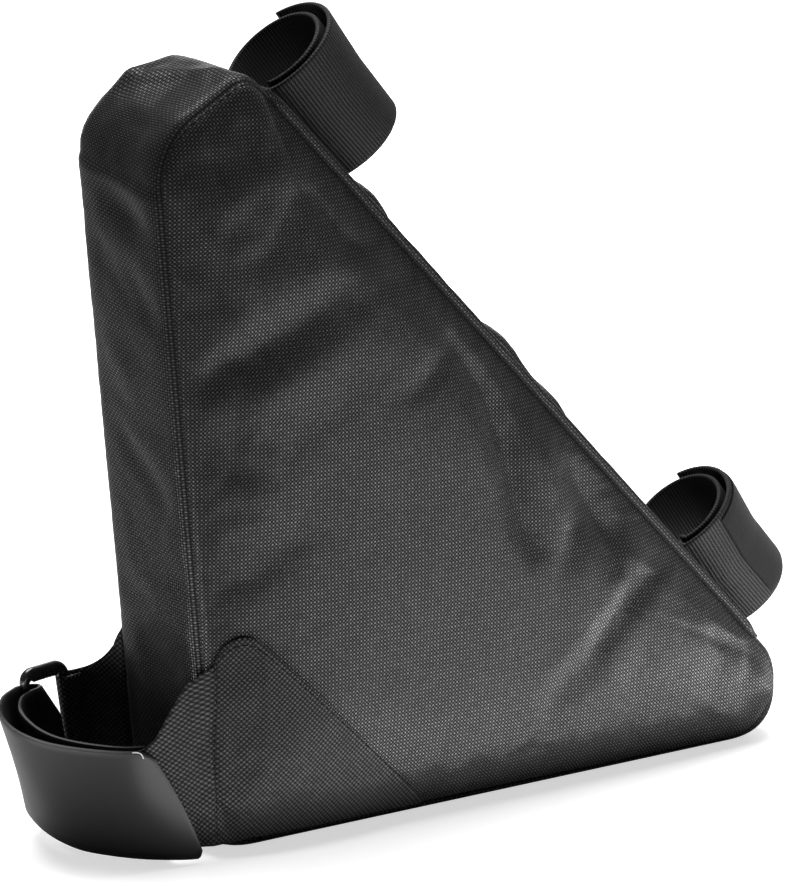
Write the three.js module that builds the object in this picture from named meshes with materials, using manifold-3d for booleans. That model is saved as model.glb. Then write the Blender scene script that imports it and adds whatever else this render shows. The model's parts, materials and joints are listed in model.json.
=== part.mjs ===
// A soft triangular frame bag for a bicycle, standing on its bottom edge.
// Millimetres, +Z up. The front face looks along -Y and the upright edge is on the left, at -X.
// Two webbing loops sit on the slanted edge, and a strap closes a third loop at the lower left corner.
import * as THREE from 'three';
import { mergeVertices } from 'three/addons/utils/BufferGeometryUtils.js';
import Module from 'manifold-3d';

const wasm = await Module();
wasm.setup();

// Body of the bag
const baseLength = 276; // bottom seam, from the left corner to where its line meets the slanted edge
const bodyHeight = 276; // apex above the bottom seam
const bodyDepth = 50; // front seam to rear seam
const seamHeight = 4.5; // bottom seam above the floor, at the left corner
const noseSeamHeight = 1.5; // the same at the right-hand end
const clothWall = 2; // padded cloth of the panels and gussets
const clearance = 0.3; // between pieces that are sewn together
const facetAllowance = 0.45; // more room where a curved piece lies on another
const frontBulge = 11; // how far the front panel stands out at its fullest
const rearBulge = 9;
const rearFlare = 4; // how much further left the rear panel reaches
const weltRadius = 1.5;
const weltOff = 0.72; // middle of the welt off the seam each way, as a share of its radius

// Zip in the rear panel, beside the slanted edge
const zipLength = 210;
const zipWidth = 16;
const zipInset = 30; // centre line of the zip below the slanted seam
const zipStart = 50; // from the apex to the upper end of the zip

// Webbing loops on the slanted edge
const webbingWidth = 46;
const webbingThickness = 1.8;

// Wings and strap at the lower left corner
const wingThickness = 1.4;
const wingRaise = 1; // lower edge of a wing above the bottom seam
const wingHeight = 77; // highest point of a wing above its lower edge
const wingLength = 87; // from the left corner of the bag to the tip of a wing
const wingHem = 7; // rear wing sewn back on itself past the ring
const tailPull = 6; // how straight the rear wing leaves the bag and the ring
const tailStart = 4; // where the rear wing leaves the bag, left of the corner of the rear panel
const strapThickness = 1.8;
const strapHeight = 44;
const strapFloorGap = 2; // lower edge of the strap above the floor
const loopReach = 61; // outermost point of the strap, left of the corner of the bag
const loopOutside = 3.2; // strap in front of the front seam, where it leaves the bag
const loopWider = 18; // how much wider than the bag's depth the loop is, front to back

// Ring that the strap passes through
const ringBar = 3.5;
const ringWidth = 22.5;
const ringHeight = 58;
const ringFloorGap = 4;
const ringTurn = 14; // degrees, about the vertical
const ringCorner = 3.5;

const frontSeam = -bodyDepth / 2;
const rearSeam = bodyDepth / 2;
const loopFront = frontSeam - loopOutside;
const loopSpan = bodyDepth + loopWider;

// Corners of the panels, in order: along is a share of baseLength, up a share of bodyHeight above
// the bottom seam, and flareX and flareZ say how much of rearFlare the rear panel adds.
const cornerTable = {
  lowerLeft: { along: 0, up: 0, radius: 20, flareX: -1, flareZ: 0 },
  upperLeft: { along: -0.0725, up: 0.923, radius: 26, flareX: -1, flareZ: 0.7 },
  apex: { along: 0.0555, up: 1, radius: 8, flareX: 0, flareZ: 0 },
  nose: { along: 1, up: 0, radius: 20, flareX: 0, flareZ: 0 },
};

// Pieces of the outline that starts at each corner: segments in its arc and in the edge that follows,
// and how far the gusset stands out there.
const outlineSteps = {
  lowerLeft: { arc: 6, edge: 10, stand: 2.5 },
  upperLeft: { arc: 7, edge: 2, stand: 2.5 },
  apex: { arc: 4, edge: 16, stand: 2 },
  nose: { arc: 8, edge: 11, stand: 2.5 },
};

// Gusset across the bag: share of its depth, and share of its full height over the seams.
const gussetSection = [
  { across: 0, rise: 0 },
  { across: 0.07, rise: 0.55 },
  { across: 0.17, rise: 1 },
  { across: 0.5, rise: 1 },
  { across: 0.83, rise: 1 },
  { across: 0.93, rise: 0.55 },
  { across: 1, rise: 0 },
];
const gussetInnerRise = 0.9; // how much of that height its inner side follows

// Rings of a panel, from the seam inwards, as shares of the way out from its middle.
const panelRings = [1, 0.93, 0.82, 0.67, 0.48, 0.25];
const panelMiddle = { along: 0.29, up: 0.37 };
const bulgePower = 2.4;
const dentFade = 6; // dents are at full depth from 1 / dentFade of the way in from the seam

// Dents in the front panel: middle, half length and half width as shares of bodyHeight,
// depth as a share of frontBulge, and direction in degrees from the horizontal.
const dentTable = [
  { along: 0.455, up: 0.455, halfLength: 0.15, halfWidth: 0.026, depth: 0.4, angle: 104 },
  { along: 0.62, up: 0.31, halfLength: 0.05, halfWidth: 0.022, depth: 0.3, angle: 118 },
  { along: 0.6, up: 0.18, halfLength: 0.11, halfWidth: 0.03, depth: 0.22, angle: 42 },
];

// Wing seen from the front: along is a share of wingLength from the left corner of the bag to the tip,
// and high a share of wingHeight. The first row lies on the seam.
const wingTable = [
  { along: -0.035, high: 0.86 },
  { along: 0.0, high: 0.95 },
  { along: 0.06, high: 1 },
  { along: 0.12, high: 0.995 },
  { along: 0.17, high: 0.95 },
  { along: 0.45, high: 0.625 },
  { along: 0.75, high: 0.27 },
  { along: 0.97, high: 0.02 },
];
// The part of each wing that runs out past the seam: share of the way to its end, and its upper and
// lower edge as shares of wingHeight.
const frontTail = [
  { out: 0, high: 0.83, low: 0 },
  { out: 0.12, high: 0.77, low: 0 },
  { out: 0.3, high: 0.68, low: 0 },
  { out: 0.5, high: 0.62, low: 0 },
  { out: 0.75, high: 0.595, low: 0 },
  { out: 1, high: 0.59, low: 0 },
];
const rearTail = [
  { out: 0, high: 0.83, low: 0 },
  { out: 0.25, high: 0.76, low: 0.01 },
  { out: 0.5, high: 0.695, low: 0.03 },
  { out: 0.75, high: 0.66, low: 0.06 },
  { out: 1, high: 0.65, low: 0.08 },
];
const frontTailStart = 0.04; // both ends of the front wing's tail, as shares of the strap's way round
const frontTailEnd = 0.36;

// Way of the strap round the outside of the loop, from the bag to the ring. The x columns are shares of
// loopReach to the left of the corner, the y columns shares of loopSpan from the front, for the upper
// and the lower edge. Rise lifts both edges, as a share of strapHeight. Between is the distance to the
// inner run, as a share of the turn about the ring's bar.
const strapRoute = [
  { xTop: 0.08, yTop: 0, xLow: 0.04, yLow: 0.01, rise: 0, between: 0.72 },
  { xTop: 0.31, yTop: 0.01, xLow: 0.2, yLow: 0.05, rise: 0, between: 0.72 },
  { xTop: 0.56, yTop: 0.07, xLow: 0.38, yLow: 0.16, rise: 0, between: 0.73 },
  { xTop: 0.77, yTop: 0.22, xLow: 0.57, yLow: 0.31, rise: 0.01, between: 0.85 },
  { xTop: 0.93, yTop: 0.41, xLow: 0.72, yLow: 0.46, rise: 0.03, between: 1.05 },
  { xTop: 1.0, yTop: 0.6, xLow: 0.8, yLow: 0.62, rise: 0.07, between: 1.18 },
  { xTop: 0.98, yTop: 0.79, xLow: 0.82, yLow: 0.79, rise: 0.13, between: 1.1 },
  { xTop: 0.86, yTop: 0.92, xLow: 0.79, yLow: 0.92, rise: 0.18, between: 1.02 },
  { xTop: 0.71, yTop: 0.985, xLow: 0.71, yLow: 0.985, rise: 0.205, between: 1 },
];
const innerStart = 0.26; // where the inner run starts, as a share of the way
const freeEndLow = 0.05; // where the slanted free end lies, at the lower and the upper edge
const freeEndHigh = 0.2;
const freeEndRound = 0.03; // how far its two corners draw back
const freeEndCorner = 0.08; // share of the strap's height that each corner takes

// Webbing loops: place of the upper end along the slanted edge from the apex, as a share of its length,
// turn about Y against the edge in degrees, radius and height of the middle over the gusset, and the
// step between layers at the upper and lower end.
const loopTable = {
  upper_strap: { place: 0.04, turn: 2, radius: 17, squash: 1, middle: 19, stepUpper: 4.8, stepLower: 2.6 },
  lower_strap: { place: 0.731, turn: 4, radius: 17.5, squash: 0.94, middle: 15.5, stepUpper: 4.2, stepLower: 2.6 },
};
const loopStartTurns = -0.14; // the inner end, in turns from the front of the bag
const loopEndTurns = 1.39; // the free end
const loopFlatness = 4; // how soon the band leaves the gusset at either side, more is sooner

const colours = {
  cloth: 0x26272a,
  gusset: 0x1d1e20,
  wing: 0x1b1c1e,
  webbing: 0x19191a,
  coated: 0x222325,
  plastic: 0x101011,
};

function material(colour, roughness) {
  return new THREE.MeshStandardMaterial({ color: colour, roughness, metalness: 0 });
}

const group = new THREE.Group();

function addPiece(name, geometry, colour, roughness) {
  const mesh = new THREE.Mesh(geometry, material(colour, roughness));
  mesh.name = name;
  group.add(mesh);
}

function lerp(a, b, share) {
  return a + (b - a) * share;
}

// Collects points and faces, and gives a geometry.
class Skin {
  constructor() {
    this.points = [];
    this.faces = [];
  }

  point(v) {
    this.points.push(v.x, v.y, v.z);
    return this.points.length / 3 - 1;
  }

  row(list) {
    return list.map((v) => this.point(v));
  }

  triangle(a, b, c) {
    this.faces.push(a, b, c);
  }

  quad(a, b, c, d) {
    this.triangle(a, b, c);
    this.triangle(a, c, d);
  }

  strip(first, second, closed = false) {
    const count = closed ? first.length : first.length - 1;
    for (let i = 0; i < count; i++) {
      const next = (i + 1) % first.length;
      this.quad(first[i], first[next], second[next], second[i]);
    }
  }

  geometry() {
    const made = new THREE.BufferGeometry();
    made.setAttribute('position', new THREE.Float32BufferAttribute(this.points, 3));
    made.setIndex(this.faces);
    return facingOut(made);
  }
}

// Turns the faces over where they enclose a negative volume.
function facingOut(geometry) {
  const p = geometry.getAttribute('position');
  const index = geometry.getIndex().array;
  const [a, b, c] = [new THREE.Vector3(), new THREE.Vector3(), new THREE.Vector3()];
  let volume = 0;
  for (let i = 0; i < index.length; i += 3) {
    a.fromBufferAttribute(p, index[i]);
    b.fromBufferAttribute(p, index[i + 1]);
    c.fromBufferAttribute(p, index[i + 2]);
    volume += a.dot(b.cross(c));
  }
  if (volume < 0) {
    for (let i = 0; i < index.length; i += 3) {
      [index[i + 1], index[i + 2]] = [index[i + 2], index[i + 1]];
    }
  }
  return geometry;
}

// A wall over a grid of points: over and under are lists of rows of the same size.
function wall(over, under) {
  const skin = new Skin();
  const top = over.map((row) => skin.row(row));
  const low = under.map((row) => skin.row(row));
  const last = top.length - 1;
  for (let i = 0; i < last; i++) {
    skin.strip(top[i], top[i + 1]);
    skin.strip(low[i + 1], low[i]);
  }
  skin.strip(low[0], top[0]);
  skin.strip(top[last], low[last]);
  const firsts = (rows) => rows.map((row) => row[0]);
  const lasts = (rows) => rows.map((row) => row[row.length - 1]);
  skin.strip(firsts(top), firsts(low));
  skin.strip(lasts(low), lasts(top));
  return skin.geometry();
}

// A wall of even thickness about a grid of middle points.
function sheetWall(grid, thickness) {
  const over = [];
  const under = [];
  for (let i = 0; i < grid.length; i++) {
    over.push([]);
    under.push([]);
    for (let j = 0; j < grid[i].length; j++) {
      const before = grid[Math.max(i - 1, 0)][j];
      const after = grid[Math.min(i + 1, grid.length - 1)][j];
      const below = grid[i][Math.max(j - 1, 0)];
      const above = grid[i][Math.min(j + 1, grid[i].length - 1)];
      const along = after.clone().sub(before);
      const across = above.clone().sub(below);
      const normal = along.cross(across).normalize().multiplyScalar(thickness / 2);
      over[i].push(grid[i][j].clone().add(normal));
      under[i].push(grid[i][j].clone().sub(normal));
    }
  }
  return wall(over, under);
}

// Solids for cutting

function toSolid(geometry) {
  const bare = geometry.clone();
  bare.deleteAttribute('normal');
  bare.deleteAttribute('uv');
  const merged = mergeVertices(bare, 1e-4);
  return new wasm.Manifold(new wasm.Mesh({
    numProp: 3,
    vertProperties: new Float32Array(merged.getAttribute('position').array),
    triVerts: new Uint32Array(merged.getIndex().array),
  }));
}

function toGeometry(solid) {
  const mesh = solid.getMesh();
  const made = new THREE.BufferGeometry();
  made.setAttribute('position', new THREE.BufferAttribute(new Float32Array(mesh.vertProperties), 3));
  made.setIndex(new THREE.BufferAttribute(new Uint32Array(mesh.triVerts), 1));
  return made;
}

// Outline of a panel

function cornerPoint(name, flare) {
  const row = cornerTable[name];
  const seam = name === 'nose' ? noseSeamHeight : seamHeight;
  return new THREE.Vector2(
    row.along * baseLength + row.flareX * flare,
    seam + row.up * bodyHeight + row.flareZ * flare,
  );
}

// Points round the panel with their outward normals, from the lower left corner up the left edge,
// down the slanted edge and back along the bottom.
function outline(flare) {
  const names = Object.keys(cornerTable);
  const corners = names.map((name) => {
    const at = names.indexOf(name);
    const here = cornerPoint(name, flare);
    const before = cornerPoint(names[(at + names.length - 1) % names.length], flare);
    const after = cornerPoint(names[(at + 1) % names.length], flare);
    const towardBefore = before.sub(here).normalize();
    const towardAfter = after.sub(here).normalize();
    const half = Math.acos(towardBefore.dot(towardAfter)) / 2;
    const radius = cornerTable[name].radius;
    const middle = towardBefore.clone().add(towardAfter).normalize().multiplyScalar(radius / Math.sin(half));
    return {
      name,
      centre: here.clone().add(middle),
      radius,
      start: here.clone().addScaledVector(towardBefore, radius / Math.tan(half)),
      end: here.clone().addScaledVector(towardAfter, radius / Math.tan(half)),
    };
  });
  const points = [];
  corners.forEach((corner, at) => {
    const steps = outlineSteps[corner.name];
    const next = corners[(at + 1) % corners.length];
    const from = corner.start.clone().sub(corner.centre).angle();
    let to = corner.end.clone().sub(corner.centre).angle();
    if (to > from) {
      to -= 2 * Math.PI;
    }
    for (let i = 0; i < steps.arc; i++) {
      const angle = lerp(from, to, i / steps.arc);
      const normal = new THREE.Vector2(Math.cos(angle), Math.sin(angle));
      points.push({
        at: corner.centre.clone().addScaledVector(normal, corner.radius), normal, part: corner.name, share: 0,
      });
    }
    const edge = next.start.clone().sub(corner.end);
    const normal = new THREE.Vector2(-edge.y, edge.x).normalize();
    for (let i = 0; i < steps.edge; i++) {
      const share = i / steps.edge;
      points.push({ at: corner.end.clone().addScaledVector(edge, share), normal, part: corner.name, share });
    }
  });
  return points;
}

const frontOutline = outline(0);
const rearOutline = outline(rearFlare);
const middlePoint = new THREE.Vector2(
  panelMiddle.along * baseLength,
  seamHeight + panelMiddle.up * bodyHeight,
);

// Share of the way from the middle of the panel to its outline, for a point on it.
function outwardShare(x, z, points) {
  const ray = new THREE.Vector2(x, z).sub(middlePoint);
  if (ray.length() < 1e-6) {
    return 0;
  }
  for (let i = 0; i < points.length; i++) {
    const a = points[i].at.clone().sub(middlePoint);
    const b = points[(i + 1) % points.length].at.clone().sub(middlePoint);
    const whole = a.x * b.y - a.y * b.x;
    const first = (ray.x * b.y - ray.y * b.x) / whole;
    const second = (a.x * ray.y - a.y * ray.x) / whole;
    if (first >= -1e-9 && second >= -1e-9) {
      return first + second;
    }
  }
  return 1;
}

function dents(x, z) {
  let depth = 0;
  for (const row of dentTable) {
    const angle = THREE.MathUtils.degToRad(row.angle);
    const dx = x - row.along * baseLength;
    const dz = z - seamHeight - row.up * bodyHeight;
    const along = (dx * Math.cos(angle) + dz * Math.sin(angle)) / (row.halfLength * bodyHeight);
    const across = (dz * Math.cos(angle) - dx * Math.sin(angle)) / (row.halfWidth * bodyHeight);
    depth += row.depth * frontBulge * Math.exp(-along * along - across * across);
  }
  return depth;
}

function frontSurface(x, z) {
  const share = Math.min(outwardShare(x, z, frontOutline), 1);
  const fade = Math.min(1, (1 - share) * dentFade);
  return frontSeam - frontBulge * (1 - share ** bulgePower) + dents(x, z) * fade;
}

function rearSurface(x, z) {
  const share = Math.min(outwardShare(x, z, rearOutline), 1);
  return rearSeam + rearBulge * (1 - share ** bulgePower);
}

// A panel: rings of points that shrink towards its middle, with the wall on the inner side.
function panel(points, surface, inward) {
  const skin = new Skin();
  const faces = [0, inward * clothWall].map((depth) => {
    const rings = panelRings.map((share) => skin.row(points.map((p) => {
      const at = middlePoint.clone().lerp(p.at, share);
      return new THREE.Vector3(at.x, surface(at.x, at.y) + depth, at.y);
    })));
    const y = surface(middlePoint.x, middlePoint.y) + depth;
    return { rings, middle: skin.point(new THREE.Vector3(middlePoint.x, y, middlePoint.y)) };
  });
  faces.forEach(({ rings, middle }, side) => {
    const last = rings[rings.length - 1];
    for (let i = 0; i + 1 < rings.length; i++) {
      const [a, b] = side ? [rings[i + 1], rings[i]] : [rings[i], rings[i + 1]];
      skin.strip(a, b, true);
    }
    for (let i = 0; i < last.length; i++) {
      const next = (i + 1) % last.length;
      const [a, b] = side ? [last[next], last[i]] : [last[i], last[next]];
      skin.triangle(a, b, middle);
    }
  });
  skin.strip(faces[1].rings[0], faces[0].rings[0], true);
  return skin.geometry();
}

// A prism along Y over a rounded bar beside the slanted edge of the rear panel.
function zipPrism(trim) {
  const apex = cornerPoint('apex', 0);
  const edge = cornerPoint('nose', 0).sub(apex).normalize();
  const inward = new THREE.Vector2(edge.y, -edge.x);
  const middle = apex.clone()
    .addScaledVector(edge, zipStart + zipLength / 2)
    .addScaledVector(inward, zipInset);
  const halfLength = zipLength / 2 - trim;
  const halfWidth = zipWidth / 2 - trim;
  const shape = new THREE.Shape();
  shape.absarc(halfLength - halfWidth, 0, halfWidth, -Math.PI / 2, Math.PI / 2);
  shape.absarc(halfWidth - halfLength, 0, halfWidth, Math.PI / 2, Math.PI * 1.5);
  const prism = new THREE.ExtrudeGeometry(shape, { depth: bodyDepth, bevelEnabled: false, curveSegments: 8 });
  prism.rotateX(Math.PI / 2);
  prism.rotateY(-edge.angle());
  prism.translate(middle.x, rearSeam + bodyDepth / 2, middle.y);
  return prism;
}

// Height that the gusset stands out at a point of the outline. The underside reaches down to the floor.
function standing(point) {
  const here = outlineSteps[point.part].stand;
  if (point.part === 'upperLeft' || point.part === 'apex') {
    return here;
  }
  const down = Math.max(0, -point.normal.y) ** 2;
  return lerp(here, point.at.y, down);
}

// Stretch of the gusset between two places of the outline, with a gap at both its ends.
function gusset(first, count) {
  const rows = { over: [], under: [] };
  const total = frontOutline.length;
  const halfDepth = bodyDepth / 2 - clothWall - clearance;
  for (let k = 0; k <= count; k++) {
    const i = (first + k) % total;
    const sense = k === 0 ? 1 : k === count ? -1 : 0;
    const over = [];
    const under = [];
    for (const { across, rise } of gussetSection) {
      const front = frontOutline[i];
      const rear = rearOutline[i];
      const at = front.at.clone().lerp(rear.at, across);
      const normal = front.normal.clone().lerp(rear.normal, across).normalize();
      const stand = lerp(standing(front), standing(rear), across) * rise;
      const tangent = new THREE.Vector2(normal.y, -normal.x).multiplyScalar(sense * clearance / 2);
      const out = at.clone().add(tangent).addScaledVector(normal, stand);
      const inside = at.clone().add(tangent).addScaledVector(normal, stand * gussetInnerRise - clothWall);
      const y = lerp(-halfDepth, halfDepth, across);
      over.push(new THREE.Vector3(out.x, y, Math.max(out.y, 0)));
      under.push(new THREE.Vector3(inside.x, y, inside.y));
    }
    rows.over.push(over);
    rows.under.push(under);
  }
  return wall(rows.over, rows.under);
}

// Round welt along the slanted seam of one panel.
function welt(points, y) {
  const first = points.findIndex((p) => p.part === 'apex' && p.share > 0);
  const last = points.findIndex((p) => p.part === 'nose') + outlineSteps.nose.arc / 4;
  const off = weltRadius * weltOff + clearance;
  const path = points.slice(first, last).map((p) => {
    const at = p.at.clone().addScaledVector(p.normal, off);
    return new THREE.Vector3(at.x, y + Math.sign(y) * off, at.y);
  });
  const section = new THREE.Shape();
  section.absarc(0, 0, weltRadius, 0, 2 * Math.PI);
  return new THREE.ExtrudeGeometry(section, {
    steps: 20, curveSegments: 4, bevelEnabled: false, extrudePath: new THREE.CatmullRomCurve3(path),
  });
}

// Route of the strap

function routeCurve(pick) {
  return new THREE.CatmullRomCurve3(strapRoute.map((row) => new THREE.Vector3(...pick(row))));
}

// Across the strap's turn about the ring's bar
const barTurn = ringBar + 2 * (clearance + facetAllowance) + strapThickness;
const topRoute = routeCurve((row) => [-row.xTop * loopReach, loopFront + row.yTop * loopSpan, 0]);
const lowRoute = routeCurve((row) => [-row.xLow * loopReach, loopFront + row.yLow * loopSpan, 0]);
const liftRoute = routeCurve((row) => [row.rise * strapHeight, row.between * barTurn, 0]);

// Point on the strap: share of the way round, share of its height, and distance inwards of the outer run.
function routePoint(way, high, inwards) {
  const top = topRoute.getPoint(way);
  const low = lowRoute.getPoint(way);
  const heading = topRoute.getTangent(way).lerp(lowRoute.getTangent(way), 1 - high);
  const inward = new THREE.Vector2(-heading.y, heading.x).normalize().multiplyScalar(-inwards);
  return new THREE.Vector3(
    lerp(low.x, top.x, high) + inward.x,
    lerp(low.y, top.y, high) + inward.y,
    strapFloorGap + high * strapHeight + liftRoute.getPoint(way).x,
  );
}

function between(way) {
  return liftRoute.getPoint(way).y;
}

// Where the free end starts at a given height: slanted, with its two corners rounded.
function freeEnd(high) {
  const corner = Math.max(0, Math.abs(high - 0.5) + freeEndCorner - 0.5) / freeEndCorner;
  return lerp(freeEndLow, freeEndHigh, high) + freeEndRound * corner * corner;
}

const ringHalf = (ringWidth - ringBar) / 2; // middle of the ring to the middle of its upright bars
const ringTurnRadians = THREE.MathUtils.degToRad(ringTurn);
const ringDirection = new THREE.Vector3(Math.cos(ringTurnRadians), Math.sin(ringTurnRadians), 0);
const nearBar = routePoint(1, 0.5, between(1) / 2).setZ(0);
const farBar = nearBar.clone().addScaledVector(ringDirection, 2 * ringHalf);

// Strap: from the front wing round inside, about the near bar of the ring, and back outside.
function wingStrap() {
  const heights = [0, freeEndCorner, 0.5, 1 - freeEndCorner, 1];
  const grid = [];
  const innerSteps = 16;
  const outerSteps = 24;
  const turnSteps = 8;
  for (let i = 0; i < innerSteps; i++) {
    const way = lerp(innerStart, 1, i / innerSteps);
    grid.push(heights.map((high) => routePoint(way, high, between(way))));
  }
  for (let i = 0; i <= turnSteps; i++) {
    grid.push(heights.map((high) => {
      const inner = routePoint(1, high, between(1));
      const outer = routePoint(1, high, 0);
      const centre = inner.clone().lerp(outer, 0.5);
      const side = inner.clone().sub(centre);
      const ahead = new THREE.Vector3(side.y, -side.x, 0);
      const angle = Math.PI * i / turnSteps;
      return centre.clone().addScaledVector(side, Math.cos(angle)).addScaledVector(ahead, Math.sin(angle));
    }));
  }
  for (let i = 1; i <= outerSteps; i++) {
    grid.push(heights.map((high) => routePoint(lerp(1, freeEnd(high), i / outerSteps), high, 0)));
  }
  return sheetWall(grid, strapThickness);
}

// Wing of one side: columns over the panel, and then the tail that tailPoint lays out.
function wing(surface, outward, flare, tailRows, tailPoint, tailSteps) {
  const rows = 6;
  const lift = outward * (clearance + facetAllowance + wingThickness / 2);
  const grid = [];
  const lower = seamHeight + wingRaise;
  const high = new THREE.SplineCurve(wingTable.map((row) => new THREE.Vector2(row.along, row.high)));
  const columns = 16;
  for (let i = columns; i >= 0; i--) {
    const row = high.getPoint(i / columns);
    const x = row.x * wingLength - flare;
    grid.push([...Array(rows + 1).keys()].map((j) => {
      const z = lower + wingHeight * row.y * j / rows;
      return new THREE.Vector3(x, surface(x, z) + lift, z);
    }));
  }
  const tail = new THREE.CatmullRomCurve3(tailRows.map((row) => new THREE.Vector3(row.out, row.high, row.low)));
  for (let i = 1; i <= tailSteps; i++) {
    const row = tail.getPoint(i / tailSteps);
    grid.push([...Array(rows + 1).keys()].map((j) => {
      const z = lower + wingHeight * lerp(row.z, row.y, j / rows);
      return tailPoint(row.x, z);
    }));
  }
  return grid;
}

function frontWing() {
  const inwards = strapThickness / 2 + clearance + facetAllowance + wingThickness / 2;
  const tailPoint = (out, z) => {
    const high = (z - strapFloorGap) / strapHeight;
    return routePoint(lerp(frontTailStart, frontTailEnd, out), high, inwards).setZ(z);
  };
  return sheetWall(wing(frontSurface, -1, 0, frontTail, tailPoint, 10), wingThickness);
}

// Rear wing: its tail runs to the far bar of the ring, turns about it and is sewn back on itself.
function rearWing() {
  const turn = ringBar / 2 + clearance + wingThickness / 2;
  const start = new THREE.Vector3(-rearFlare - tailStart, rearSeam + clearance + wingThickness / 2, 0);
  const side = new THREE.Vector3(-ringDirection.y, ringDirection.x, 0).multiplyScalar(turn);
  const arrive = farBar.clone().add(side);
  const plan = new THREE.CubicBezierCurve3(
    start,
    start.clone().add(new THREE.Vector3(-tailPull, tailPull / 2, 0)),
    arrive.clone().addScaledVector(ringDirection, tailPull),
    arrive,
  );
  const tailPoint = (out, z) => plan.getPoint(out).setZ(z);
  const grid = wing(rearSurface, 1, rearFlare, rearTail, tailPoint, 8);
  const turnSteps = 6;
  const last = grid[grid.length - 1];
  for (let i = 1; i <= turnSteps; i++) {
    const angle = Math.PI * i / turnSteps;
    grid.push(last.map((p) => farBar.clone()
      .addScaledVector(side, Math.cos(angle))
      .addScaledVector(ringDirection, -turn * Math.sin(angle))
      .setZ(p.z)));
  }
  const hemStart = farBar.clone().sub(side);
  for (const share of [0.5, 1]) {
    grid.push(last.map((p) => hemStart.clone().addScaledVector(ringDirection, wingHem * share).setZ(p.z)));
  }
  return sheetWall(grid, wingThickness);
}

// Ring: a round bar bent to a rectangle with rounded corners.
function ring() {
  const halfHigh = (ringHeight - ringBar) / 2;
  const middle = nearBar.clone().lerp(farBar, 0.5).setZ(ringFloorGap + ringHeight / 2);
  const cornerSteps = 5;
  const sides = 10;
  const path = [];
  for (const [sx, sz, start] of [[1, 1, 0], [-1, 1, 90], [-1, -1, 180], [1, -1, 270]]) {
    for (let i = 0; i <= cornerSteps; i++) {
      const angle = THREE.MathUtils.degToRad(start + 90 * i / cornerSteps);
      path.push({
        u: sx * (ringHalf - ringCorner) + ringCorner * Math.cos(angle),
        w: sz * (halfHigh - ringCorner) + ringCorner * Math.sin(angle),
        nu: Math.cos(angle),
        nw: Math.sin(angle),
      });
    }
  }
  const across = new THREE.Vector3(-ringDirection.y, ringDirection.x, 0);
  const skin = new Skin();
  const rows = path.map((p) => skin.row([...Array(sides).keys()].map((k) => {
    const angle = 2 * Math.PI * k / sides;
    const reach = ringBar / 2 * Math.cos(angle);
    return middle.clone()
      .addScaledVector(ringDirection, p.u + reach * p.nu)
      .addScaledVector(across, ringBar / 2 * Math.sin(angle))
      .setZ(middle.z + p.w + reach * p.nw);
  })));
  rows.forEach((row, i) => skin.strip(row, rows[(i + 1) % rows.length], true));
  return skin.geometry();
}

// Webbing loop: one band that starts inside at the front, passes over the top and down the back, lies on
// the gusset, and runs up the front again outside to its free end.
function webbingLoop({ place, turn, radius, squash, middle, stepUpper, stepLower }) {
  const apex = cornerPoint('apex', 0);
  const edge = cornerPoint('nose', 0).sub(apex);
  const start = apex.clone().addScaledVector(edge, place);
  const direction = edge.clone().normalize();
  const normal = new THREE.Vector2(-direction.y, direction.x);
  const turned = direction.clone().rotateAround(new THREE.Vector2(), -THREE.MathUtils.degToRad(turn));
  const outwards = new THREE.Vector2(-turned.y, turned.x);
  const gussetTop = outlineSteps.apex.stand;
  const floor = gussetTop + clearance + facetAllowance / 2 + webbingThickness / 2;
  const layerStep = webbingThickness + 4 * clearance;
  const steps = 52;
  const grid = [];
  for (let i = 0; i <= steps; i++) {
    const turns = lerp(loopStartTurns, loopEndTurns, i / steps);
    const angle = 2 * Math.PI * turns;
    grid.push([0, 1].map((share) => {
      const step = lerp(stepUpper, stepLower, share);
      const reach = radius + step * turns;
      const onGusset = Math.max(0, -Math.sin(angle)) ** loopFlatness;
      const y = -Math.cos(angle) * reach * squash;
      const free = middle + Math.sin(angle) * reach;
      const along = webbingWidth * (share - 0.5);
      const lowest = floor + (turns < 0.25 ? layerStep : 0);
      const height = Math.max(lerp(free, lowest, onGusset), lowest);
      const at = start.clone()
        .addScaledVector(direction, webbingWidth / 2)
        .addScaledVector(turned, along)
        .addScaledVector(outwards, height + Math.abs(along) * Math.sin(THREE.MathUtils.degToRad(turn)));
      return new THREE.Vector3(at.x, y, at.y);
    }));
  }
  return sheetWall(grid, webbingThickness);
}

// Assembly

// The gusset is made in three pieces, which meet in the middle of the apex and at both ends of the underside.
const apexMiddle = frontOutline.findIndex((p) => p.part === 'apex') + outlineSteps.apex.arc / 2;
const noseStart = frontOutline.findIndex((p) => p.part === 'nose');

addPiece('front_panel', panel(frontOutline, frontSurface, 1), colours.cloth, 0.75);

const rearSolid = toSolid(panel(rearOutline, rearSurface, -1));
addPiece('rear_panel', toGeometry(rearSolid.subtract(toSolid(zipPrism(0)))), colours.cloth, 0.75);
addPiece('rear_zip', toGeometry(rearSolid.intersect(toSolid(zipPrism(clearance)))), colours.plastic, 0.6);

addPiece('left_gusset', gusset(0, apexMiddle), colours.gusset, 0.75);
addPiece('slant_gusset', gusset(apexMiddle, noseStart - apexMiddle), colours.gusset, 0.75);
addPiece('bottom_gusset', gusset(noseStart, frontOutline.length - noseStart), colours.gusset, 0.75);
addPiece('front_welt', welt(frontOutline, frontSeam), colours.gusset, 0.7);
addPiece('rear_welt', welt(rearOutline, rearSeam), colours.gusset, 0.7);
for (const [name, row] of Object.entries(loopTable)) {
  addPiece(name, webbingLoop(row), colours.webbing, 0.8);
}
addPiece('front_wing', frontWing(), colours.wing, 0.8);
addPiece('rear_wing', rearWing(), colours.wing, 0.8);
addPiece('wing_strap', wingStrap(), colours.coated, 0.45);
addPiece('strap_ring', ring(), colours.plastic, 0.3);

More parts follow.
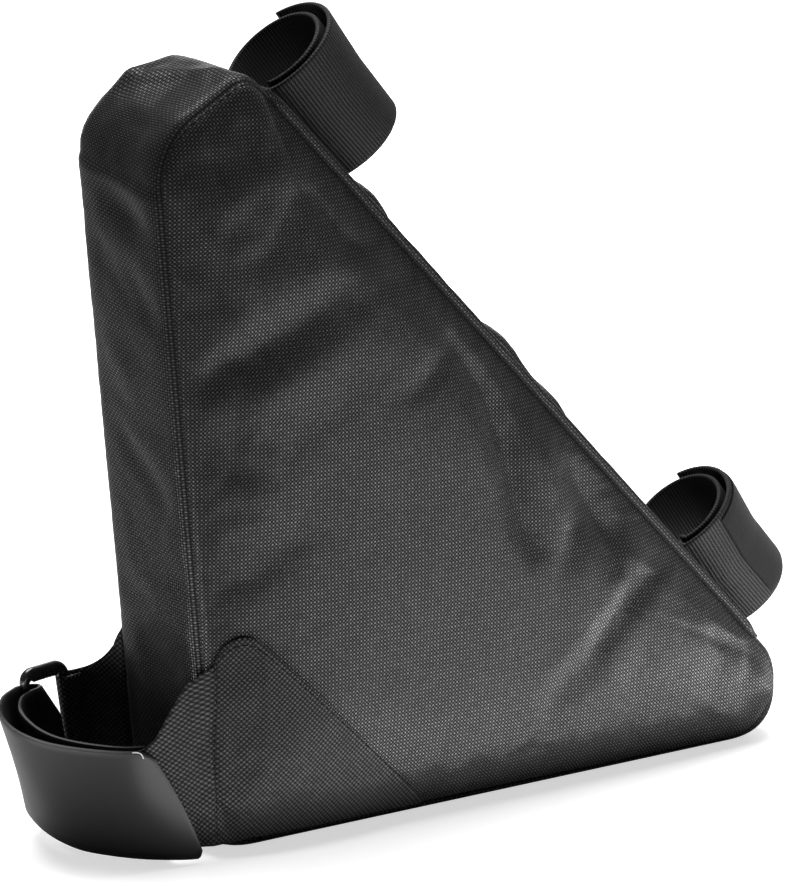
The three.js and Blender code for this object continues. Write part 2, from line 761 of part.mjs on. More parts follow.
// The origin of the whole model is the middle of its underside.
const bounds = new THREE.Box3().setFromObject(group);
const centre = bounds.getCenter(new THREE.Vector3());
group.position.set(-centre.x, -centre.y, -bounds.min.z);

export default group;
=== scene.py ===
# %% [markdown]
# # A soft triangular frame bag
# The bag is sewn from woven cloth: two bulged panels, a gusset band between them, two webbing loops that
# close round a frame tube, and a strap with a ring at the lower left corner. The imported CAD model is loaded
# first and fixes every place and size. Everything below is in the same frame, and the made pieces stand for
# the plain CAD solids.

# %% Load the fixed frame
import json
import math

import bmesh
import bpy
import numpy as np
from mathutils import Matrix, Vector, noise
from mathutils.bvhtree import BVHTree

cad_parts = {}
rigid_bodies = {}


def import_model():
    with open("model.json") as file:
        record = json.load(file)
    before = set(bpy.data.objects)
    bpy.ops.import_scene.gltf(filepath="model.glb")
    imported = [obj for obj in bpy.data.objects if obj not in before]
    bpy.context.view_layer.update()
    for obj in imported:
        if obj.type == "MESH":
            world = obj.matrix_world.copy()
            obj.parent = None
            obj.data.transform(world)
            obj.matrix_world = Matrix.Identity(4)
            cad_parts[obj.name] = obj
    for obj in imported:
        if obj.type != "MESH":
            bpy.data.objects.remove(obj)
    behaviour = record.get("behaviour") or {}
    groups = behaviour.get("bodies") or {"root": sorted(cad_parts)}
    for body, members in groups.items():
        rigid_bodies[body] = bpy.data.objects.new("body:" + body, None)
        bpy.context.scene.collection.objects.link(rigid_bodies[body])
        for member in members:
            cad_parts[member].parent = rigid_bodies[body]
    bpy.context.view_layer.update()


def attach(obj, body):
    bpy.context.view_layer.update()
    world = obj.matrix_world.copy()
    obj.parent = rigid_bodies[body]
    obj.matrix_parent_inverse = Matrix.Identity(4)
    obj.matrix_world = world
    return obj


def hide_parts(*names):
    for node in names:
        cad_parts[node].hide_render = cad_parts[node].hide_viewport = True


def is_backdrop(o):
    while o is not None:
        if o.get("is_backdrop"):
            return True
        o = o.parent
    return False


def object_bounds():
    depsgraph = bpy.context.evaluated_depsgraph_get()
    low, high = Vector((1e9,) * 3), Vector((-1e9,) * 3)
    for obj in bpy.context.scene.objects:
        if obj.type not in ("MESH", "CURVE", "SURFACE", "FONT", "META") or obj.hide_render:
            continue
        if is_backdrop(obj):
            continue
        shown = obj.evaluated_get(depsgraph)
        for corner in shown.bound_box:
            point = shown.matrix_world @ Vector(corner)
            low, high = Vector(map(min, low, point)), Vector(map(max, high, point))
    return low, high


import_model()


# %% A helper for every object
def add_object(name, data):
    """Puts an object with this data into the scene."""
    made = bpy.data.objects.new(name, data)
    bpy.context.scene.collection.objects.link(made)
    return made


# %% [markdown]
# ## The camera
# The photograph was taken with a long lens from the front left, a little above the bag. A long lens flattens
# the perspective, so the camera stands far off and has a narrow view. Aim, distance and angles are named
# here, and the place of the camera follows from them.

# %% Make the camera
AIM = Vector((-0.02505, -0.02896, 0.140))
AZIMUTH, ELEVATION = math.radians(-33), math.radians(15)
CAMERA_DISTANCE = 1.5
LENS_MM = 168.75

camera_data = bpy.data.cameras.new("camera")
camera_data.lens = LENS_MM
camera_data.clip_end = 50
camera = add_object("camera", camera_data)
back = Vector((math.sin(AZIMUTH) * math.cos(ELEVATION), -math.cos(AZIMUTH) * math.cos(ELEVATION),
               math.sin(ELEVATION)))
camera.location = AIM + back * CAMERA_DISTANCE
camera.rotation_euler = (-back).to_track_quat("-Z", "Y").to_euler()
bpy.context.scene.camera = camera
print("camera at", [round(v, 3) for v in camera.location])

# %% [markdown]
# ## Numbers of the pattern
# These are the sizes that the bag is cut to, in millimetres, with the floor at z = 0 and y = 0 in the middle
# of the bag's depth. ORIGIN moves this pattern into the CAD frame. The corners are the sharp corners of the
# sewn outline, and each has the radius that rounds it.

# %% Sizes of the bag
ORIGIN = np.array([-102.0466, -3.9588, 0.0])
MM = 0.001
DEPTH = 50.0
WALL = 1.6
CORNERS = [  # x, z, radius in front, radius behind, points in the arc, points along the edge that follows
    ("lower_left", 0.0, 4.5, 20, 20, 12, 84),
    ("upper_left", -20.0, 259.2, 26, 15, 16, 12),
    ("apex", 15.3, 280.5, 8, 8, 12, 124),
    ("nose", 276.0, 1.5, 20, 20, 20, 80),
]
REAR_SHIFT = {"lower_left": (-4.0, 0.0), "upper_left": (-4.0, 2.8), "apex": (0, 0), "nose": (0, 0)}
MIDDLE = np.array([80.0, 106.6])  # x, z of the point in each panel that its rings shrink to
# the outline's parts: the arc of each corner, and the edge that follows it
LOW_ARC, LEFT_EDGE, TOP_ARC, TOP_EDGE, APEX_ARC, SLANT_EDGE, NOSE_ARC, BOTTOM_EDGE = range(8)


def place(points):
    """Millimetres of the pattern to metres of the frame."""
    return (np.asarray(points, float) + ORIGIN) * MM


# %% [markdown]
# ## The sewn outline
# Each corner is an arc that touches both its edges, so its centre lies on the line that halves the corner.
# The same number of points is used for the front and the rear outline, because the gusset band is stretched
# between them point by point.

# %% Round the outline
def outline(rear=False):
    """Points, outward normals and part numbers round the panel, clockwise seen from the front."""
    sharp = []
    for name, x, z, *_ in CORNERS:
        shift = REAR_SHIFT[name] if rear else (0, 0)
        sharp.append(np.array([x + shift[0], z + shift[1]]))
    arcs = []
    for k, row in enumerate(CORNERS):
        radius = row[4] if rear else row[3]
        here = sharp[k]
        to_before, to_after = sharp[k - 1] - here, sharp[(k + 1) % len(sharp)] - here
        to_before /= np.linalg.norm(to_before)
        to_after /= np.linalg.norm(to_after)
        half = math.acos(to_before @ to_after) / 2
        bisector = (to_before + to_after) / np.linalg.norm(to_before + to_after)
        centre = here + bisector * radius / math.sin(half)
        first = here + to_before * radius / math.tan(half) - centre
        last = here + to_after * radius / math.tan(half) - centre
        a, b = math.atan2(first[1], first[0]), math.atan2(last[1], last[0])
        if b > a:
            b -= 2 * math.pi
        arcs.append((centre, radius, a, b))
    points, normals, parts = [], [], []
    for k, row in enumerate(CORNERS):
        centre, radius, a, b = arcs[k]
        arc_steps, edge_steps = row[5], row[6]
        for i in range(arc_steps):
            angle = a + (b - a) * i / arc_steps
            normal = np.array([math.cos(angle), math.sin(angle)])
            points.append(centre + normal * radius)
            normals.append(normal)
            parts.append(2 * k)
        end = centre + radius * np.array([math.cos(b), math.sin(b)])
        centre2, radius2, a2, _ = arcs[(k + 1) % len(arcs)]
        start = centre2 + radius2 * np.array([math.cos(a2), math.sin(a2)])
        edge = start - end
        normal = np.array([-edge[1], edge[0]]) / np.linalg.norm(edge)
        for i in range(edge_steps):
            points.append(end + edge * i / edge_steps)
            normals.append(normal)
            parts.append(2 * k + 1)
    return np.array(points), np.array(normals), np.array(parts)


front_line, front_normals, parts = outline()
rear_line, rear_normals, _ = outline(rear=True)
steps_round = np.linalg.norm(np.roll(front_line, -1, 0) - front_line, axis=1)
arc_length = np.concatenate([[0], np.cumsum(steps_round)[:-1]])
on_slant = parts == SLANT_EDGE
print("outline:", len(front_line), "points,", round(steps_round.sum()), "mm round")

# %% [markdown]
# ## Helpers for cloth shells
# Every cloth piece is a grid of points with a second grid just under it, joined round the rim. That makes a
# closed body with a real thickness, so no surface is paper thin. The UV map is in metres along the cloth, so
# a weave keeps its true size. An attribute named edge is 1 at the rim of a piece and fades inwards, and the
# materials use it for wear, and the woven cloths also for a painted shade along their seams.

# %% Numbers along lines and over grids
def spread(*values):
    """Rows and columns of numbers, stretched to one size and put together point by point."""
    return np.stack(np.broadcast_arrays(*values), -1)


def length_along(points):
    """How far along its line each point lies, from the first one."""
    return np.concatenate([[0], np.cumsum(np.linalg.norm(np.diff(points, axis=0), axis=1))])


def blurred_round(values, width):
    """Blurs numbers that run round the bag, where the last lies beside the first."""
    window = np.hanning(width) / np.hanning(width).sum()
    return np.convolve(np.tile(values, 3), window, "same")[len(values):2 * len(values)]


def smoothed(values, passes):
    """Blurs a table of numbers along both its directions."""
    for _ in range(passes):
        padded = np.pad(values, 1, mode="edge")
        values = (padded[:-2, 1:-1] + padded[2:, 1:-1] + padded[1:-1, :-2] + padded[1:-1, 2:]
                  + 4 * values) / 8
    return values


def ripple(points, size, seed):
    """Smooth unevenness between -1 and 1, the same at each run."""
    return np.array([noise.noise(Vector((p[0] / size, p[1] / size, seed))) for p in points])


def ripple_along(way, size, seed):
    """The same along a line."""
    return ripple(np.stack([way, way * 0], 1), size, seed)


# %% Turn grids into closed meshes
EDGE_FADE = 4.0  # millimetres over which the edge attribute fades


def grid_normals(grid, wrap=False):
    """Unit normals of a grid of points, from the differences along its rows and columns."""
    if wrap:
        across = np.roll(grid, -1, 1) - np.roll(grid, 1, 1)
    else:
        across = np.gradient(grid, axis=1)
    down = np.gradient(grid, axis=0)
    normal = np.cross(across, down)
    return normal / np.maximum(np.linalg.norm(normal, axis=2, keepdims=True), 1e-9)


def quads(rows, columns, wrap, first=0):
    """Faces of a grid whose points are numbered row by row."""
    i, j = np.meshgrid(np.arange(rows - 1), np.arange(columns if wrap else columns - 1), indexing="ij")
    next_j = (j + 1) % columns
    a, b = i * columns + j, i * columns + next_j
    c, d = (i + 1) * columns + next_j, (i + 1) * columns + j
    return first + np.stack([a, b, c, d], -1).reshape(-1, 4)


def add_mesh(name, points, faces, uv, edge, material, smooth_angle=50):
    """Makes an object from points in millimetres, with a UV for each point and the edge attribute."""
    mesh = bpy.data.meshes.new(name)
    mesh.from_pydata(place(points).tolist(), [], [list(f) for f in faces])
    layer = mesh.uv_layers.new(name="UVMap")
    corner = np.zeros(len(mesh.loops), np.int32)
    mesh.loops.foreach_get("vertex_index", corner)
    layer.data.foreach_set("uv", (np.asarray(uv)[corner] * MM).astype(np.float32).ravel())
    attribute = mesh.attributes.new("edge", "FLOAT", "POINT")
    attribute.data.foreach_set("value", np.asarray(edge, np.float32))
    mesh.polygons.foreach_set("use_smooth", np.ones(len(mesh.polygons), bool))
    mesh.set_sharp_from_angle(angle=math.radians(smooth_angle))
    mesh.update()
    mesh.materials.append(material)
    return add_object(name, mesh)


def volume_of(points, faces):
    """Signed volume, used to see which way the faces point."""
    fans = np.array([(f[0], f[k], f[k + 1]) for f in faces for k in range(1, len(f) - 1)])
    a, b, c = points[fans[:, 0]], points[fans[:, 1]], points[fans[:, 2]]
    return (a * np.cross(b, c)).sum() / 6


def rim_distance(grid, wrap):
    """Distance from each point to the nearest rim of its grid, in millimetres."""
    down = np.linalg.norm(np.diff(grid, axis=0), axis=2)
    from_top = np.concatenate([np.zeros((1, grid.shape[1])), np.cumsum(down, 0)])
    nearest = from_top.copy()
    if not wrap:
        nearest = np.minimum(nearest, from_top[-1] - from_top)
        across = np.linalg.norm(np.diff(grid, axis=1), axis=2)
        from_left = np.concatenate([np.zeros((grid.shape[0], 1)), np.cumsum(across, 1)], 1)
        nearest = np.minimum(nearest, np.minimum(from_left, from_left[:, -1:] - from_left))
    return nearest


def shell(name, grid, uv, material, outside, thickness=WALL, wrap=False, pole=None, centred=False):
    """A closed cloth shell under a grid, or about it if centred. outside is a point or points that its outer
    side looks at. pole gives the outer and inner point and the UV that close the last ring."""
    rows, columns = grid.shape[:2]
    normal = grid_normals(grid, wrap)
    if ((np.asarray(outside) - grid) * normal).sum(2).mean() < 0:
        normal = -normal
    outer = grid + normal * (np.asarray(thickness) / 2 if centred else 0)
    under = grid - normal * (np.asarray(thickness) / 2 if centred else thickness)
    count = rows * columns
    faces = [quads(rows, columns, wrap), quads(rows, columns, wrap, count)[:, ::-1]]
    points = [outer.reshape(-1, 3), under.reshape(-1, 3)]
    flat_uv = [uv.reshape(-1, 2), uv.reshape(-1, 2)]
    near_rim = np.exp(-rim_distance(grid, wrap) / EDGE_FADE).ravel()
    edge = [near_rim, near_rim]
    j = np.arange(columns if wrap else columns - 1)
    nj = (j + 1) % columns
    faces.append(np.stack([j, j + count, nj + count, nj], -1))
    triangles = []
    last = (rows - 1) * columns
    if pole is None:
        faces.append(np.stack([last + j, last + nj, last + nj + count, last + j + count], -1))
    else:
        points += [np.array([pole[0]]), np.array([pole[1]])]
        flat_uv += [np.array([pole[2]]), np.array([pole[2]])]
        edge += [np.zeros(1), np.zeros(1)]
        top, low = 2 * count, 2 * count + 1
        triangles += [(last + a, last + b, top) for a, b in zip(j, nj)]
        triangles += [(last + b + count, last + a + count, low) for a, b in zip(j, nj)]
    if not wrap:
        i = np.arange(rows - 1) * columns
        ni = i + columns
        faces.append(np.stack([i, ni, ni + count, i + count], -1))
        i, ni = i + columns - 1, ni + columns - 1
        faces.append(np.stack([i, i + count, ni + count, ni], -1))
    points = np.concatenate(points)
    faces = np.concatenate(faces).tolist() + [list(t) for t in triangles]
    if volume_of(points, faces) < 0:
        faces = [f[::-1] for f in faces]
    return add_mesh(name, points, faces, np.concatenate(flat_uv), np.concatenate(edge), material)


# %% [markdown]
# ## Folds and dents
# Soft cloth over a loose filling has a few large folds, and they make the photograph recognisable. Each fold
# is one row in a table: the line that it follows, how wide it is, and how deep. A negative depth is a ridge.
# The depth falls off smoothly to both sides and to both ends of the line.

# %% Fold helper
def fold_depth(points, rows):
    """Sum of the depths of all folds at flat points, in millimetres."""
    total = np.zeros(len(points))
    for path, width, depth, sharpness in rows:
        path = np.array(path, float)
        pieces = np.linalg.norm(np.diff(path, axis=0), axis=1)
        whole = pieces.sum()
        best = np.full(len(points), 1e9)
        where = np.zeros(len(points))
        done = 0.0
        for a, b, size in zip(path[:-1], path[1:], pieces):
            share = np.clip(((points - a) @ (b - a)) / size ** 2, 0, 1)
            apart = np.linalg.norm(points - a - share[:, None] * (b - a), axis=1)
            closer = apart < best
            best = np.where(closer, apart, best)
            where = np.where(closer, (done + share * size) / whole, where)
            done += size
        taper = np.sin(np.pi * np.clip(where * 0.8 + 0.1, 0, 1)) ** 0.7
        total += depth * taper * np.exp(-(best / width) ** sharpness)
    return total


# %% [markdown]
# ## Materials: the weave
# Coated bag cloth is a grid of fat yarns. Where a yarn passes over its neighbour it makes a small shiny dome,
# and between the domes lie dark gaps. One node group makes this for every cloth here: it turns the UV map,
# counts yarns, and gives the height of the domes and a random value for each of them. The shader that uses it
# stays in each material.

# %% Node helpers
def link(tree, source, target):
    tree.links.new(source, target)


def math_node(tree, operation, a, b=None, c=None, clamp=False):
    """One Math node, whose inputs may be numbers or sockets."""
    node = tree.nodes.new("ShaderNodeMath")
    node.operation = operation
    node.use_clamp = clamp
    for socket, value in zip(node.inputs, (a, b, c)):
        if value is None:
            continue
        if isinstance(value, (int, float)):
            socket.default_value = value
        else:
            link(tree, value, socket)
    return node.outputs[0]


def start_group(name, inputs, outputs):
    """An empty shader group with named sockets. Inputs are (name, kind, default)."""
    group = bpy.data.node_groups.new(name, "ShaderNodeTree")
    for socket_name, kind, default in inputs:
        socket = group.interface.new_socket(socket_name, in_out="INPUT", socket_type=kind)
        if default is not None:
            socket.default_value = default
    for socket_name, kind in outputs:
        group.interface.new_socket(socket_name, in_out="OUTPUT", socket_type=kind)
    return group, group.nodes.new("NodeGroupInput").outputs, group.nodes.new("NodeGroupOutput").inputs


FLOAT, VECTOR = "NodeSocketFloat", "NodeSocketVector"


# %% The weave group
def make_weave_group():
    group, given, out = start_group(
        "woven_yarns",
        [("UV", VECTOR, None), ("Pitch", FLOAT, 0.00144), ("Turn", FLOAT, 0.0), ("Second yarn", FLOAT, 0.5),
         ("Sharpness", FLOAT, 0.8)],
        [("Height", FLOAT), ("Yarn random", FLOAT), ("Gap", FLOAT)])
    turn = group.nodes.new("ShaderNodeVectorRotate")
    turn.rotation_type = "Z_AXIS"
    link(group, given["UV"], turn.inputs["Vector"])
    link(group, given["Turn"], turn.inputs["Angle"])
    split = group.nodes.new("ShaderNodeSeparateXYZ")
    link(group, turn.outputs[0], split.inputs[0])
    waves, counts = [], []
    for axis in (0, 1):
        yarns = math_node(group, "DIVIDE", split.outputs[axis], given["Pitch"])
        wave = math_node(group, "COSINE", math_node(group, "MULTIPLY", yarns, 2 * math.pi))
        waves.append(math_node(group, "MULTIPLY_ADD", wave, 0.5, 0.5))
        counts.append(math_node(group, "ROUND", yarns))
    over = math_node(group, "MULTIPLY", waves[0], waves[1])
    left = [math_node(group, "SUBTRACT", 1.0, w) for w in waves]
    under = math_node(group, "MULTIPLY", math_node(group, "MULTIPLY", left[0], left[1]), given["Second yarn"])
    dome = math_node(group, "POWER", math_node(group, "MAXIMUM", over, under), given["Sharpness"])
    cell = group.nodes.new("ShaderNodeCombineXYZ")
    link(group, counts[0], cell.inputs[0])
    link(group, counts[1], cell.inputs[1])
    chance = group.nodes.new("ShaderNodeTexWhiteNoise")
    chance.noise_dimensions = "2D"
    link(group, cell.outputs[0], chance.inputs["Vector"])
    link(group, dome, out["Height"])
    link(group, chance.outputs["Value"], out["Yarn random"])
    link(group, math_node(group, "SUBTRACT", 1.0, dome, clamp=True), out["Gap"])
    return group


weave_group = make_weave_group()
print("group", weave_group.name, "with", len(weave_group.nodes), "nodes")

# %% [markdown]
# ## Materials: handling
# A used bag isn't evenly black. The coating is a little cloudy, fine dust sits on it, and edges are rubbed a
# little lighter. This group mixes two sizes of noise with the edge attribute, and gives one value that
# brightens the colour and one that changes the roughness.

# %% The handling group
FINE_CLOUDS = 0.35  # share of the finer noise


def make_handling_group():
    group, given, out = start_group(
        "handling",
        [("Position", VECTOR, None), ("Edge", FLOAT, 0.0), ("Cloud size", FLOAT, 25.0), ("Cloud", FLOAT, 0.3),
         ("Rubbing", FLOAT, 0.4)],
        [("Brightness", FLOAT), ("Roughness change", FLOAT)])
    clouds = []
    for scale, detail in ((1.0, 3.0), (9.0, 4.0)):  # the broad noise, then the finer one
        texture = group.nodes.new("ShaderNodeTexNoise")
        texture.inputs["Detail"].default_value = detail
        link(group, given["Position"], texture.inputs["Vector"])
        link(group, math_node(group, "MULTIPLY", given["Cloud size"], scale), texture.inputs["Scale"])
        clouds.append(texture.outputs["Fac"])
    mixed = math_node(group, "MULTIPLY_ADD", clouds[1], FINE_CLOUDS,
                      math_node(group, "MULTIPLY", clouds[0], 1 - FINE_CLOUDS))
    centred = math_node(group, "MULTIPLY", math_node(group, "SUBTRACT", mixed, 0.5), given["Cloud"])
    rubbed = math_node(group, "MULTIPLY", clouds[1], given["Rubbing"])
    rubbed = math_node(group, "MULTIPLY", given["Edge"], rubbed, clamp=True)
    bright = math_node(group, "ADD", math_node(group, "ADD", centred, 1.0), rubbed)
    link(group, bright, out["Brightness"])
    link(group, math_node(group, "MULTIPLY", centred, 0.5), out["Roughness change"])
    return group


handling_group = make_handling_group()
print("group", handling_group.name, "with", len(handling_group.nodes), "nodes")


# %% [markdown]
# ## Materials: cloth, webbing, coated strap and plastic
# Each material is a Principled BSDF. Black cloth shows almost no colour of its own, so nearly all that is
# seen is the shine on the yarns: their roughness, the height of the bump and a little sheen matter most.
# The woven cloth and the webbing also have light painted into their colour: a painted highlight on the yarn
# tops and ribs and painted shade between them, and the woven cloth has painted shade along its seams.

# %% Material helpers
def start_material(name, sheen=0.0, coat=0.0, specular=0.5, coat_rough=0.25):
    """A material with its shader, where the even values are set on the shader's own sockets."""
    material = bpy.data.materials.new(name)
    material.use_nodes = True
    tree = material.node_tree
    shader = tree.nodes["Principled BSDF"]
    shader.inputs["Sheen Weight"].default_value = sheen
    shader.inputs["Sheen Roughness"].default_value = 0.5
    shader.inputs["Coat Weight"].default_value = coat
    shader.inputs["Coat Roughness"].default_value = coat_rough
    shader.inputs["Specular IOR Level"].default_value = specular
    return material, tree, shader


def place_group(tree, group, **values):
    """Puts a group into a material and sets its values, given with _ for each space."""
    node = tree.nodes.new("ShaderNodeGroup")
    node.node_tree = group
    for name, value in values.items():
        node.inputs[name.replace("_", " ")].default_value = value
    return node


def position(tree):
    return tree.nodes.new("ShaderNodeTexCoord").outputs["Object"]


def edge_value(tree):
    attribute = tree.nodes.new("ShaderNodeAttribute")
    attribute.attribute_name = "edge"
    return attribute.outputs["Fac"]


def handled(tree, cloud, cloud_size, rubbing):
    """The outputs of the handling group, fed with the position and the piece's edge attribute."""
    node = place_group(tree, handling_group, Cloud=cloud, Cloud_size=cloud_size, Rubbing=rubbing)
    link(tree, position(tree), node.inputs["Position"])
    link(tree, edge_value(tree), node.inputs["Edge"])
    return node.outputs


def woven(tree, **values):
    """The outputs of the weave group, fed with the UV map."""
    node = place_group(tree, weave_group, **values)
    link(tree, uv_output(tree), node.inputs["UV"])
    return node.outputs


def colour_between(tree, dark, light, share, brightness):
    """Colour from dark to light by share, times brightness."""
    mix = tree.nodes.new("ShaderNodeMix")
    mix.data_type = "RGBA"
    ends = [socket for socket in mix.inputs if socket.type == "RGBA"]
    ends[0].default_value = (*dark, 1)
    ends[1].default_value = (*light, 1)
    link(tree, share, mix.inputs[0])
    scale = tree.nodes.new("ShaderNodeVectorMath")
    scale.operation = "SCALE"
    link(tree, next(socket for socket in mix.outputs if socket.type == "RGBA"), scale.inputs[0])
    link(tree, brightness, scale.inputs["Scale"])
    return scale.outputs[0]


def uv_output(tree):
    return tree.nodes.new("ShaderNodeUVMap").outputs["UV"]


def set_roughness(tree, shader, rough, handling):
    """Roughness, which may be a number or a socket, with the change that the handling gives."""
    changed = math_node(tree, "ADD", rough, handling["Roughness change"], clamp=True)
    link(tree, changed, shader.inputs["Roughness"])


def add_bump(tree, height, strength, distance, shader):
    bump = tree.nodes.new("ShaderNodeBump")
    bump.inputs["Strength"].default_value = strength
    bump.inputs["Distance"].default_value = distance
    link(tree, height, bump.inputs["Height"])
    link(tree, bump.outputs["Normal"], shader.inputs["Normal"])


# %% Woven cloth
# painted shade: the colour of the gaps between the yarn domes
GAP_SHADE_COLOUR = 0.0005
GAP_ROUGH, YARN_ROUGH = 0.8, 0.45
TINT = (1.0, 1.0, 1.04)
YARN_LEAST, YARN_VARIES = 0.78, 0.45  # brightness of the darkest yarn, and how much brighter the lightest is
SEAM_SHADE_POWER = 2.6  # the higher, the closer the painted seam shade keeps to the seam


def woven_cloth(name, pitch, turn, painted_seam_shade=0.97, second=0.65, sharpness=2.0, light=0.05, gloss=1.0,
                depth=0.00035):
    """Black woven cloth. light is the colour of the yarn tops, the yarns' own black brightened there as a
    painted highlight, and the gaps between them get a painted shade. gloss is how much coating lies on them.
    The seam argument is how much darker the cloth is painted at its rim, a painted shade along the seams, and
    below zero it paints the rim lighter."""
    material, tree, shader = start_material(name, sheen=0.03, specular=0.12, coat_rough=0.3)
    weave = woven(tree, Pitch=pitch, Turn=math.radians(turn), Second_yarn=second, Sharpness=sharpness)
    handling = handled(tree, cloud=0.3, cloud_size=22.0, rubbing=0.1)
    lively = math_node(tree, "MULTIPLY_ADD", weave["Yarn random"], YARN_VARIES, YARN_LEAST)
    brightness = math_node(tree, "MULTIPLY", handling["Brightness"], lively)
    # painted shade: the cloth's colour is darkened towards its rim, along the seam
    near_seam = math_node(tree, "POWER", edge_value(tree), SEAM_SHADE_POWER)
    brightness = math_node(tree, "MULTIPLY", brightness,
                           math_node(tree, "MULTIPLY_ADD", near_seam, -painted_seam_shade, 1.0))
    # painted light: the colour runs from the painted shade of the gaps to a painted highlight on the yarn
    # tops
    colour = colour_between(tree, [GAP_SHADE_COLOUR * t for t in TINT], [light * t for t in TINT], weave["Height"],
                            brightness)
    link(tree, colour, shader.inputs["Base Color"])
    rough = math_node(tree, "MULTIPLY_ADD", weave["Gap"], GAP_ROUGH - YARN_ROUGH, YARN_ROUGH)
    rough = math_node(tree, "MULTIPLY_ADD", weave["Yarn random"], 0.08, rough)
    set_roughness(tree, shader, rough, handling)
    shine = math_node(tree, "MULTIPLY", weave["Height"], brightness)
    link(tree, math_node(tree, "MULTIPLY", shine, gloss, clamp=True), shader.inputs["Coat Weight"])
    height = math_node(tree, "MULTIPLY_ADD", weave["Yarn random"], 0.12, weave["Height"])
    add_bump(tree, height, 0.8, depth, shader)
    return material


panel_cloth = woven_cloth("panel_cloth", 0.00144, 0)
gusset_cloth = woven_cloth("gusset_cloth", 0.00144, 45, light=0.03, gloss=0.8)
# the wing's rim is painted lighter instead of darker
wing_cloth = woven_cloth("wing_cloth", 0.00192, 0, painted_seam_shade=-0.25, second=1.0, sharpness=1.6, light=0.024,
                         gloss=0.24, depth=0.0005)
print("cloths:", panel_cloth.name, gusset_cloth.name, wing_cloth.name)


# %% Webbing, coated strap, plastic, thread and pile
RIB_PITCH = 1.28  # millimetres from one rib of the webbing to the next


def webbing_cloth(name):
    """Webbing: its ribs are in the mesh, and fine threads cross them. Its colour is lighter on the rib tops
    and thread crossings and darker between the ribs, a painted highlight and painted shade.
    """
    material, tree, shader = start_material(name, sheen=0.04, specular=0.12, coat_rough=0.4)
    weave = woven(tree, Pitch=0.0009, Turn=0.0, Second_yarn=0.9, Sharpness=0.7)
    handling = handled(tree, cloud=0.25, cloud_size=30.0, rubbing=0.9)
    split = tree.nodes.new("ShaderNodeSeparateXYZ")
    link(tree, uv_output(tree), split.inputs[0])
    turns = math_node(tree, "MULTIPLY", split.outputs[1], 2 * math.pi / (RIB_PITCH * MM))
    ribs = math_node(tree, "MULTIPLY_ADD", math_node(tree, "COSINE", turns), 0.5, 0.5)
    rib = math_node(tree, "POWER", ribs, 1.3)
    threads = math_node(tree, "MULTIPLY_ADD", weave["Height"], 0.5, 0.5)
    shown = math_node(tree, "MULTIPLY", rib, threads)
    # painted highlight on the rib tops and thread crossings, painted shade between the ribs
    colour = colour_between(tree, (0.001, 0.001, 0.001), (0.015, 0.015, 0.0153), shown,
                            handling["Brightness"])
    link(tree, colour, shader.inputs["Base Color"])
    link(tree, math_node(tree, "MULTIPLY", shown, 0.22), shader.inputs["Coat Weight"])
    set_roughness(tree, shader, 0.7, handling)
    add_bump(tree, weave["Height"], 0.5, 0.0002, shader)
    return material


def grained(name, light, rough, dark=None, grain=900.0, detail=2.0, bump=0.08, depth=0.0002, cloud_size=18.0,
            rubbing=0.6, **shine):
    """Even stuff with a fine grain and rubbed edges: coating, moulded plastic, thread or pile."""
    material, tree, shader = start_material(name, **shine)
    handling = handled(tree, 0.25, cloud_size, rubbing)
    texture = tree.nodes.new("ShaderNodeTexNoise")
    texture.inputs["Scale"].default_value = grain
    texture.inputs["Detail"].default_value = detail
    link(tree, position(tree), texture.inputs["Vector"])
    colour = colour_between(tree, dark or [c * 0.8 for c in light], light, texture.outputs["Fac"],
                            handling["Brightness"])
    link(tree, colour, shader.inputs["Base Color"])
    set_roughness(tree, shader, rough, handling)
    add_bump(tree, texture.outputs["Fac"], bump, depth, shader)
    return material


webbing = webbing_cloth("ribbed_webbing")
coated = grained("coated_strap", (0.011, 0.011, 0.0113), 0.4, specular=0.2)
backing = grained("strap_backing", (0.004, 0.004, 0.004), 0.85, grain=2600.0, bump=0.3)
plastic = grained("ring_plastic", (0.012, 0.012, 0.013), 0.22, coat=0.4, bump=0.03)
thread = grained("sewing_thread", (0.004, 0.004, 0.004), 0.75, grain=4000.0, bump=0.2, specular=0.15)
pale_thread = grained("pale_thread", (0.4, 0.4, 0.39), 0.6, grain=4000.0, bump=0.2)
zip_plastic = grained("zip_coil", (0.02, 0.02, 0.021), 0.38, bump=0.05)
zip_tape = woven_cloth("zip_tape", 0.0007, 45, painted_seam_shade=0.0, second=0.8, light=0.03, gloss=0.3, depth=0.0002)
pile = grained("loop_pile", (0.012, 0.012, 0.0122), 0.85, dark=(0.002, 0.002, 0.002), grain=1700.0,
               detail=3.0, bump=0.6, depth=0.0004, cloud_size=40.0, rubbing=0.4, sheen=0.04, specular=0.1)
print("materials:", len(bpy.data.materials))

# %% [markdown]
# ## The two panels
# Each panel is a set of rings that shrink from the sewn outline to a point in the middle. The height of the
# cloth is a wide cushion shape plus a tighter roll at the seams. Along the slanted edge the roll is a facet:
# an even slope up to a ridge, wider and narrower by turns. The folds of the photograph are laid over it.

# %% Panel shape
RINGS = 54
BULGE_POWER = 2.4
FRONT_BULGE, REAR_BULGE = 6.5, 6.0
ROLL_HEIGHT = 4.2
ROLL_REACH = np.array([13.0, 13.0, 9.0, 9.0, 8.0, 8.0, 7.0, 7.0])  # for each part, how far in it reaches
ROLL_FROM = 0.3  # share of the rings over which the roll and the facet fade in the middle
inward_share = np.arange(RINGS) / RINGS
ring_share = 1 - (0.3 * inward_share + 0.7 * inward_share ** 2)


def reach_round(seed):
    """Reach of the roll at each point of the outline, uneven where the cloth is gathered."""
    uneven = ripple_along(arc_length, 13.0, seed)
    gathered = np.isin(parts, (SLANT_EDGE, NOSE_ARC))
    return blurred_round(ROLL_REACH[parts], 15) * (1 + 0.7 * uneven * gathered + 0.25 * uneven)


